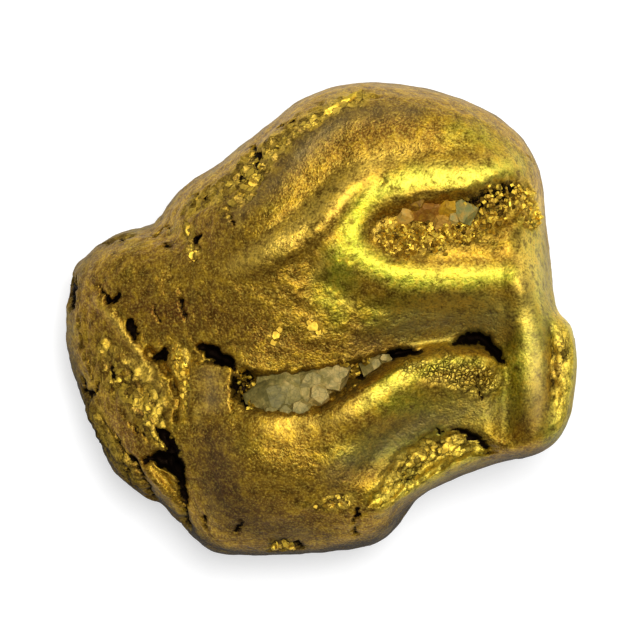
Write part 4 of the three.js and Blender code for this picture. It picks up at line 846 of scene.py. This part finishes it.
def buildGrains(ground):
    carrier = bpy.data.objects.new("grain_carrier", ground.data.copy())
    bpy.context.collection.objects.link(carrier)
    strewing = carrier.modifiers.new("strewing", "NODES")
    strewing.node_group = grainTree(grainGold())
    sockets = {item.name: item.identifier for item in strewing.node_group.interface.items_tree
               if item.in_out == "INPUT"}
    strewing[sockets["Per square metre"]] = grains["perSquareMm"] * 1e6
    strewing[sockets["Smallest"]] = [size * mm for size in grains["small"]]
    strewing[sockets["Largest"]] = [size * mm for size in grains["large"]]
    strewing[sockets["Seed"]] = grains["seed"]
    seen = carrier.evaluated_get(bpy.context.evaluated_depsgraph_get())
    mesh = bpy.data.meshes.new_from_object(seen)
    bpy.data.objects.remove(carrier)
    piece = bpy.data.objects.new("loose_gold_grains", mesh)
    bpy.context.collection.objects.link(piece)
    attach(piece, "root")
    print("gold grains:", len(mesh.polygons), "faces")


# Blocks of the vein that fills the fold, broken off level with the gold.
# Grey quartz, broken: milky, grey-green to beige, dull on its faces and darker along its seams.
# Rows of stones are x, y, half-length, half-width, half-height, turn, sink, tone.
vein = dict(
    node="fold_quartz", slot="grey_quartz", material="grey_vein_quartz_broken",
    colours=["#766c36", "#988846", "#c8ac60", "#94762e", "#6a5220"], drift=0.35, cell=0.3, seams=0.4,
    facets=7, flat=0.8, seed=5, rough=0.06, lean=5,
    stones=[(-1.75, -3.05, 0.75, 0.75, 0.5, 40, 0.56, 0.1), (-1.15, -2.85, 0.8, 0.8, 0.5, 30, 0.54, 0.25),
            (-0.35, -2.6, 0.85, 0.8, 0.5, 5, 0.52, 0.3), (0.35, -2.2, 0.7, 0.65, 0.5, 20, 0.52, 0.35),
            (-0.05, -2.95, 0.5, 0.42, 0.5, 24, 0.52, 0.45), (0.72, -2.0, 0.4, 0.4, 0.5, 40, 0.5, 0.35),
            (-1.9, -3.55, 0.35, 0.25, 0.5, 10, 0.62, 0.2), (-1.35, -3.5, 0.4, 0.3, 0.5, -15, 0.6, 0.1),
            (-0.75, -3.4, 0.45, 0.32, 0.5, 12, 0.58, 0.3)])
# Broken chips in the pocket.
# Quartz stained by iron: from grey-green through straw and amber to brown, clear enough to glow a little.
pocketStones = dict(
    node="pocket_quartz", slot="stained_quartz", material="iron_stained_quartz_chips",
    colours=["#8c8848", "#d8a640", "#8a5612", "#cc9c1c", "#5e320a"], drift=0.2, cell=0.7, seams=0.2,
    facets=6, flat=0.85, seed=8, rough=0.04, lean=24,
    stones=[(3.35, 4.05, 0.42, 0.34, 0.3, 20, 0.32, 0.25), (4.2, 4.4, 0.58, 0.46, 0.35, 5, 0.5, 0.5),
            (4.95, 4.4, 0.36, 0.42, 0.35, -10, 0.55, 0.75), (5.5, 4.25, 0.5, 0.5, 0.35, 15, 0.62, 0.05),
            (4.75, 3.75, 0.42, 0.38, 0.3, 40, 0.5, 0.3), (3.75, 4.6, 0.42, 0.34, 0.3, 0, 0.4, 0.9),
            (5.2, 3.95, 0.34, 0.3, 0.3, 60, 0.6, 0.1)])
# Two loose chips of the vein in the narrow end of the fold.
foldStones = dict(
    slot="grey_quartz", material="grey_vein_quartz_broken", facets=6, flat=0.7, seed=3, rough=0.03, lean=10,
    stones=[(2.15, -1.7, 0.32, 0.28, 0.3, 35, 0.4, 0.3), (2.55, -1.5, 0.24, 0.2, 0.3, 25, 0.45, 0.4)])
# Larger leaves of gold on the cheek, on the forehead, beside the tab and at the neck.
flakes = dict(
    slot="native_gold", material="native_gold_crystal_grains", facets=7, flat=0.6, seed=21, rough=0.03,
    lean=5,
    stones=[(-0.25, -0.25, 0.26, 0.22, 0.12, 20, -0.06, 0.72),
            (-0.08, -0.45, 0.18, 0.15, 0.1, 50, -0.05, 0.62), (-0.45, -0.1, 0.15, 0.13, 0.1, 70, -0.04, 0.55),
            (-1.72, -0.6, 0.22, 0.18, 0.12, 60, -0.06, 0.66),
            (-1.82, -0.85, 0.2, 0.16, 0.1, 10, -0.05, 0.56), (-1.6, -0.38, 0.14, 0.13, 0.1, 30, -0.04, 0.5),
            (0.45, 8.2, 0.4, 0.16, 0.08, 38, 0.0, 0.85), (0.95, 8.5, 0.35, 0.14, 0.08, 32, 0.0, 0.95),
            (-5.5, -1.35, 0.15, 0.13, 0.08, 20, 0.03, 0.8), (-5.3, -1.7, 0.12, 0.18, 0.08, 5, 0.03, 0.95),
            (-5.4, -2.1, 0.13, 0.15, 0.08, -20, 0.03, 0.7), (-5.28, -2.55, 0.12, 0.18, 0.08, 15, 0.03, 0.8),
            (-5.4, -3.0, 0.12, 0.14, 0.08, 40, 0.03, 0.6), (-5.2, 3.55, 0.12, 0.28, 0.08, -8, 0.0, 0.7),
            (-5.0, 2.5, 0.16, 0.24, 0.08, 20, 0.0, 0.75)])


def stoneMaterial(part):
    colours, drift = part["colours"], part["drift"]
    material, tree = newMaterial(part["material"])
    place = addNode(tree, "ShaderNodeTexCoord").outputs["Object"]
    tone = addNode(tree, "ShaderNodeAttribute", attribute_name="tone").outputs["Fac"]
    cloud = addNode(tree, "ShaderNodeTexNoise", {"Vector": place, "Scale": perMetre / 0.35, "Detail": 5.0,
                                                 "Roughness": 0.7}).outputs["Fac"]
    moved = addNode(tree, "ShaderNodeMapRange", {"Value": cloud, "From Min": 0.25, "From Max": 0.75,
                                                 "To Min": -drift, "To Max": drift}).outputs["Result"]
    cells, seam = brokenCells(tree, place, part["cell"], 0.1)
    shade = addNode(tree, "ShaderNodeMapRange", {
        "Value": cells, "To Min": -0.05, "To Max": 0.05}).outputs["Result"]
    where = addNode(tree, "ShaderNodeMath", {0: tone, 1: moved}, operation="ADD").outputs[0]
    where = addNode(tree, "ShaderNodeMath", {0: where, 1: shade}, operation="ADD", use_clamp=True).outputs[0]
    hue = addNode(tree, "ShaderNodeValToRGB", {"Fac": where})
    for i, colour in enumerate(colours):
        position = i / (len(colours) - 1)
        ends = {0: 0, len(colours) - 1: -1}
        stop = hue.color_ramp.elements[ends[i]] if i in ends else hue.color_ramp.elements.new(position)
        stop.color = linear(colour)
    rough = addNode(tree, "ShaderNodeMapRange", {"Value": cloud, "From Min": 0.3, "From Max": 0.7,
                                                 "To Min": 0.45, "To Max": 0.65}).outputs["Result"]
    healed = addNode(tree, "ShaderNodeMapRange", {"Value": seam, "From Min": 0.0, "From Max": 0.06,
                                                  "To Min": part["seams"], "To Max": 0.0}).outputs["Result"]
    body = addNode(tree, "ShaderNodeMix", {0: healed, 6: hue.outputs["Color"], 7: linear("#3a3014")},
                   data_type="RGBA").outputs[2]
    bump = addNode(tree, "ShaderNodeBump", {
        "Height": cloud, "Strength": 0.8, "Distance": 0.1 * mm}).outputs["Normal"]
    bump = leanCells(tree, bump, cells, (0.4, 0.4, 0.0), (-0.2, -0.2, 0.0), 1.0)
    shader = addNode(tree, "ShaderNodeBsdfPrincipled", {
        "Base Color": body, "Roughness": rough, "IOR": 1.54, "Transmission Weight": 0.15,
        "Specular IOR Level": 0.2, "Normal": bump})
    addNode(tree, "ShaderNodeOutputMaterial", {"Surface": shader.outputs["BSDF"]})
    return material


def buildStones(name, part, worn, shift):
    # each stone is a cube cut by facets all round, then roughened
    material = bpy.data.materials.get(part["material"]) or stoneMaterial(part)
    rng = random.Random(part["seed"])
    made = bmesh.new()
    tone = made.verts.layers.float.new("tone")
    for x, y, length, width, height, turn, sink, colour in part["stones"]:
        nearest = np.hypot(worn[:, 0] - shift[0] - x, worn[:, 1] - shift[1] - y).argmin()
        centre = Vector((x + shift[0], y + shift[1], worn[nearest, 2] - sink))
        stone = bmesh.new()
        bmesh.ops.create_cube(stone, size=4)
        facets = [(Vector((0, 0, 1)), part["flat"]), (Vector((0, 0, -1)), 0.9)]
        for i in range(part["facets"]):
            azimuth = (i + rng.uniform(-0.35, 0.35)) * 2 * math.pi / part["facets"]
            rise = rng.uniform(-0.1, 0.7)
            outward = math.cos(rise)
            facing = Vector((math.cos(azimuth) * outward, math.sin(azimuth) * outward, math.sin(rise)))
            facets.append((facing, rng.uniform(0.72, 0.92)))
        for facing, away in facets:
            cut = bmesh.ops.bisect_plane(stone, geom=stone.verts[:] + stone.edges[:] + stone.faces[:],
                                         plane_co=facing * away, plane_no=facing, clear_outer=True)
            rim = [edge for edge in cut["geom_cut"] if isinstance(edge, bmesh.types.BMEdge)]
            bmesh.ops.holes_fill(stone, edges=rim)
        bmesh.ops.triangulate(stone, faces=stone.faces[:])
        bmesh.ops.subdivide_edges(stone, edges=stone.edges[:], cuts=2, use_grid_fill=True)
        lean = [math.radians(rng.uniform(-part["lean"], part["lean"])) for _ in range(2)]
        spin = Euler((*lean, math.radians(turn))).to_matrix()
        kept = {}
        for vert in stone.verts:
            at = spin @ Vector((vert.co.x * length, vert.co.y * width, vert.co.z * height))
            at += noise.noise_vector(at / 0.3) * part["rough"]
            kept[vert] = made.verts.new((centre + at) * mm)
            kept[vert][tone] = colour
        for face in stone.faces:
            made.faces.new([kept[v] for v in face.verts])
        stone.free()
    bmesh.ops.recalc_face_normals(made, faces=made.faces[:])
    mesh = bpy.data.meshes.new(name)
    made.to_mesh(mesh)
    made.free()
    mesh.materials.append(material)
    piece = bpy.data.objects.new(name, mesh)
    bpy.context.collection.objects.link(piece)
    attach(piece, "root")
    if "node" in part:
        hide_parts(part["node"])
    print(name + ":", len(mesh.polygons), "faces")


# Lights are place and size in metres, and watts.
stage = dict(
    half=0.6, pale="#c0c0c0", grey="#b8b8b8", glow=0.6,
    lights=dict(key=((0.04, 0.06, 0.40), 0.12, 1.5), fill=((0.32, 0.32, 0.16), 0.3, 0.6)),
)


def buildStage():
    # Matt white card: faintly fibrous, bright enough of itself to go white behind the nugget.
    material, tree = newMaterial("matt_white_card")
    place = addNode(tree, "ShaderNodeTexCoord").outputs["Object"]
    fibre = addNode(tree, "ShaderNodeTexNoise", {
        "Vector": place, "Scale": perMetre / 0.8, "Detail": 3.0}).outputs["Fac"]
    shade = addNode(tree, "ShaderNodeMix", {0: fibre, 6: linear(stage["grey"]), 7: linear(stage["pale"])},
                    data_type="RGBA").outputs[2]
    card = addNode(tree, "ShaderNodeBsdfPrincipled", {
        "Base Color": shade, "Roughness": 0.9, "Emission Color": linear("#ffffff"),
        "Emission Strength": stage["glow"]})
    addNode(tree, "ShaderNodeOutputMaterial", {"Surface": card.outputs["BSDF"]})
    half = stage["half"]
    corners = np.array([(-half, -half, 0), (half, -half, 0), (half, half, 0), (-half, half, 0)])
    floor = meshObject("floor", corners, np.array([(0, 1, 2, 3)]), material)
    world = bpy.data.worlds.new("studio")
    bpy.context.scene.world = world
    world.use_nodes = True
    world.node_tree.nodes["Background"].inputs["Color"].default_value = (0.5, 0.5, 0.5, 1)
    world.node_tree.nodes["Background"].inputs["Strength"].default_value = 0.3
    for name, (place, size, power) in stage["lights"].items():
        light = bpy.data.lights.new(name, "AREA")
        light.size = size
        light.energy = power
        lamp = bpy.data.objects.new(name, light)
        lamp.location = place
        lamp.rotation_euler = (-Vector(place)).to_track_quat("-Z", "Y").to_euler()
        bpy.context.collection.objects.link(lamp)
    print("stage:", len(stage["lights"]), "lights")


# Straight down, as in the photo: lens and sensor in millimetres, what the frame takes in and at what height.
view = dict(lens=250, sensor=36, frame=25.6, height=5.0)


def buildCamera():
    camera = bpy.data.cameras.new("camera")
    camera.lens = view["lens"]
    camera.sensor_width = view["sensor"]
    camera.clip_start = 0.01
    camera.clip_end = 10
    holder = bpy.data.objects.new("camera", camera)
    holder.location = (0, 0, (view["height"] + view["frame"] * view["lens"] / view["sensor"]) * mm)
    bpy.context.collection.objects.link(holder)
    bpy.context.scene.camera = holder
    bpy.context.scene.view_settings.view_transform = "Standard"
    print("camera:", round(holder.location.z, 3), "m up")


gold, worn, shift = buildNugget()
buildGrains(gold)
buildStones("fold_vein_quartz", vein, worn, shift)
buildStones("fold_quartz_chips", foldStones, worn, shift)
buildStones("gold_leaf_flakes", flakes, worn, shift)
buildStones("pocket_quartz_chips", pocketStones, worn, shift)
buildStage()
buildCamera()
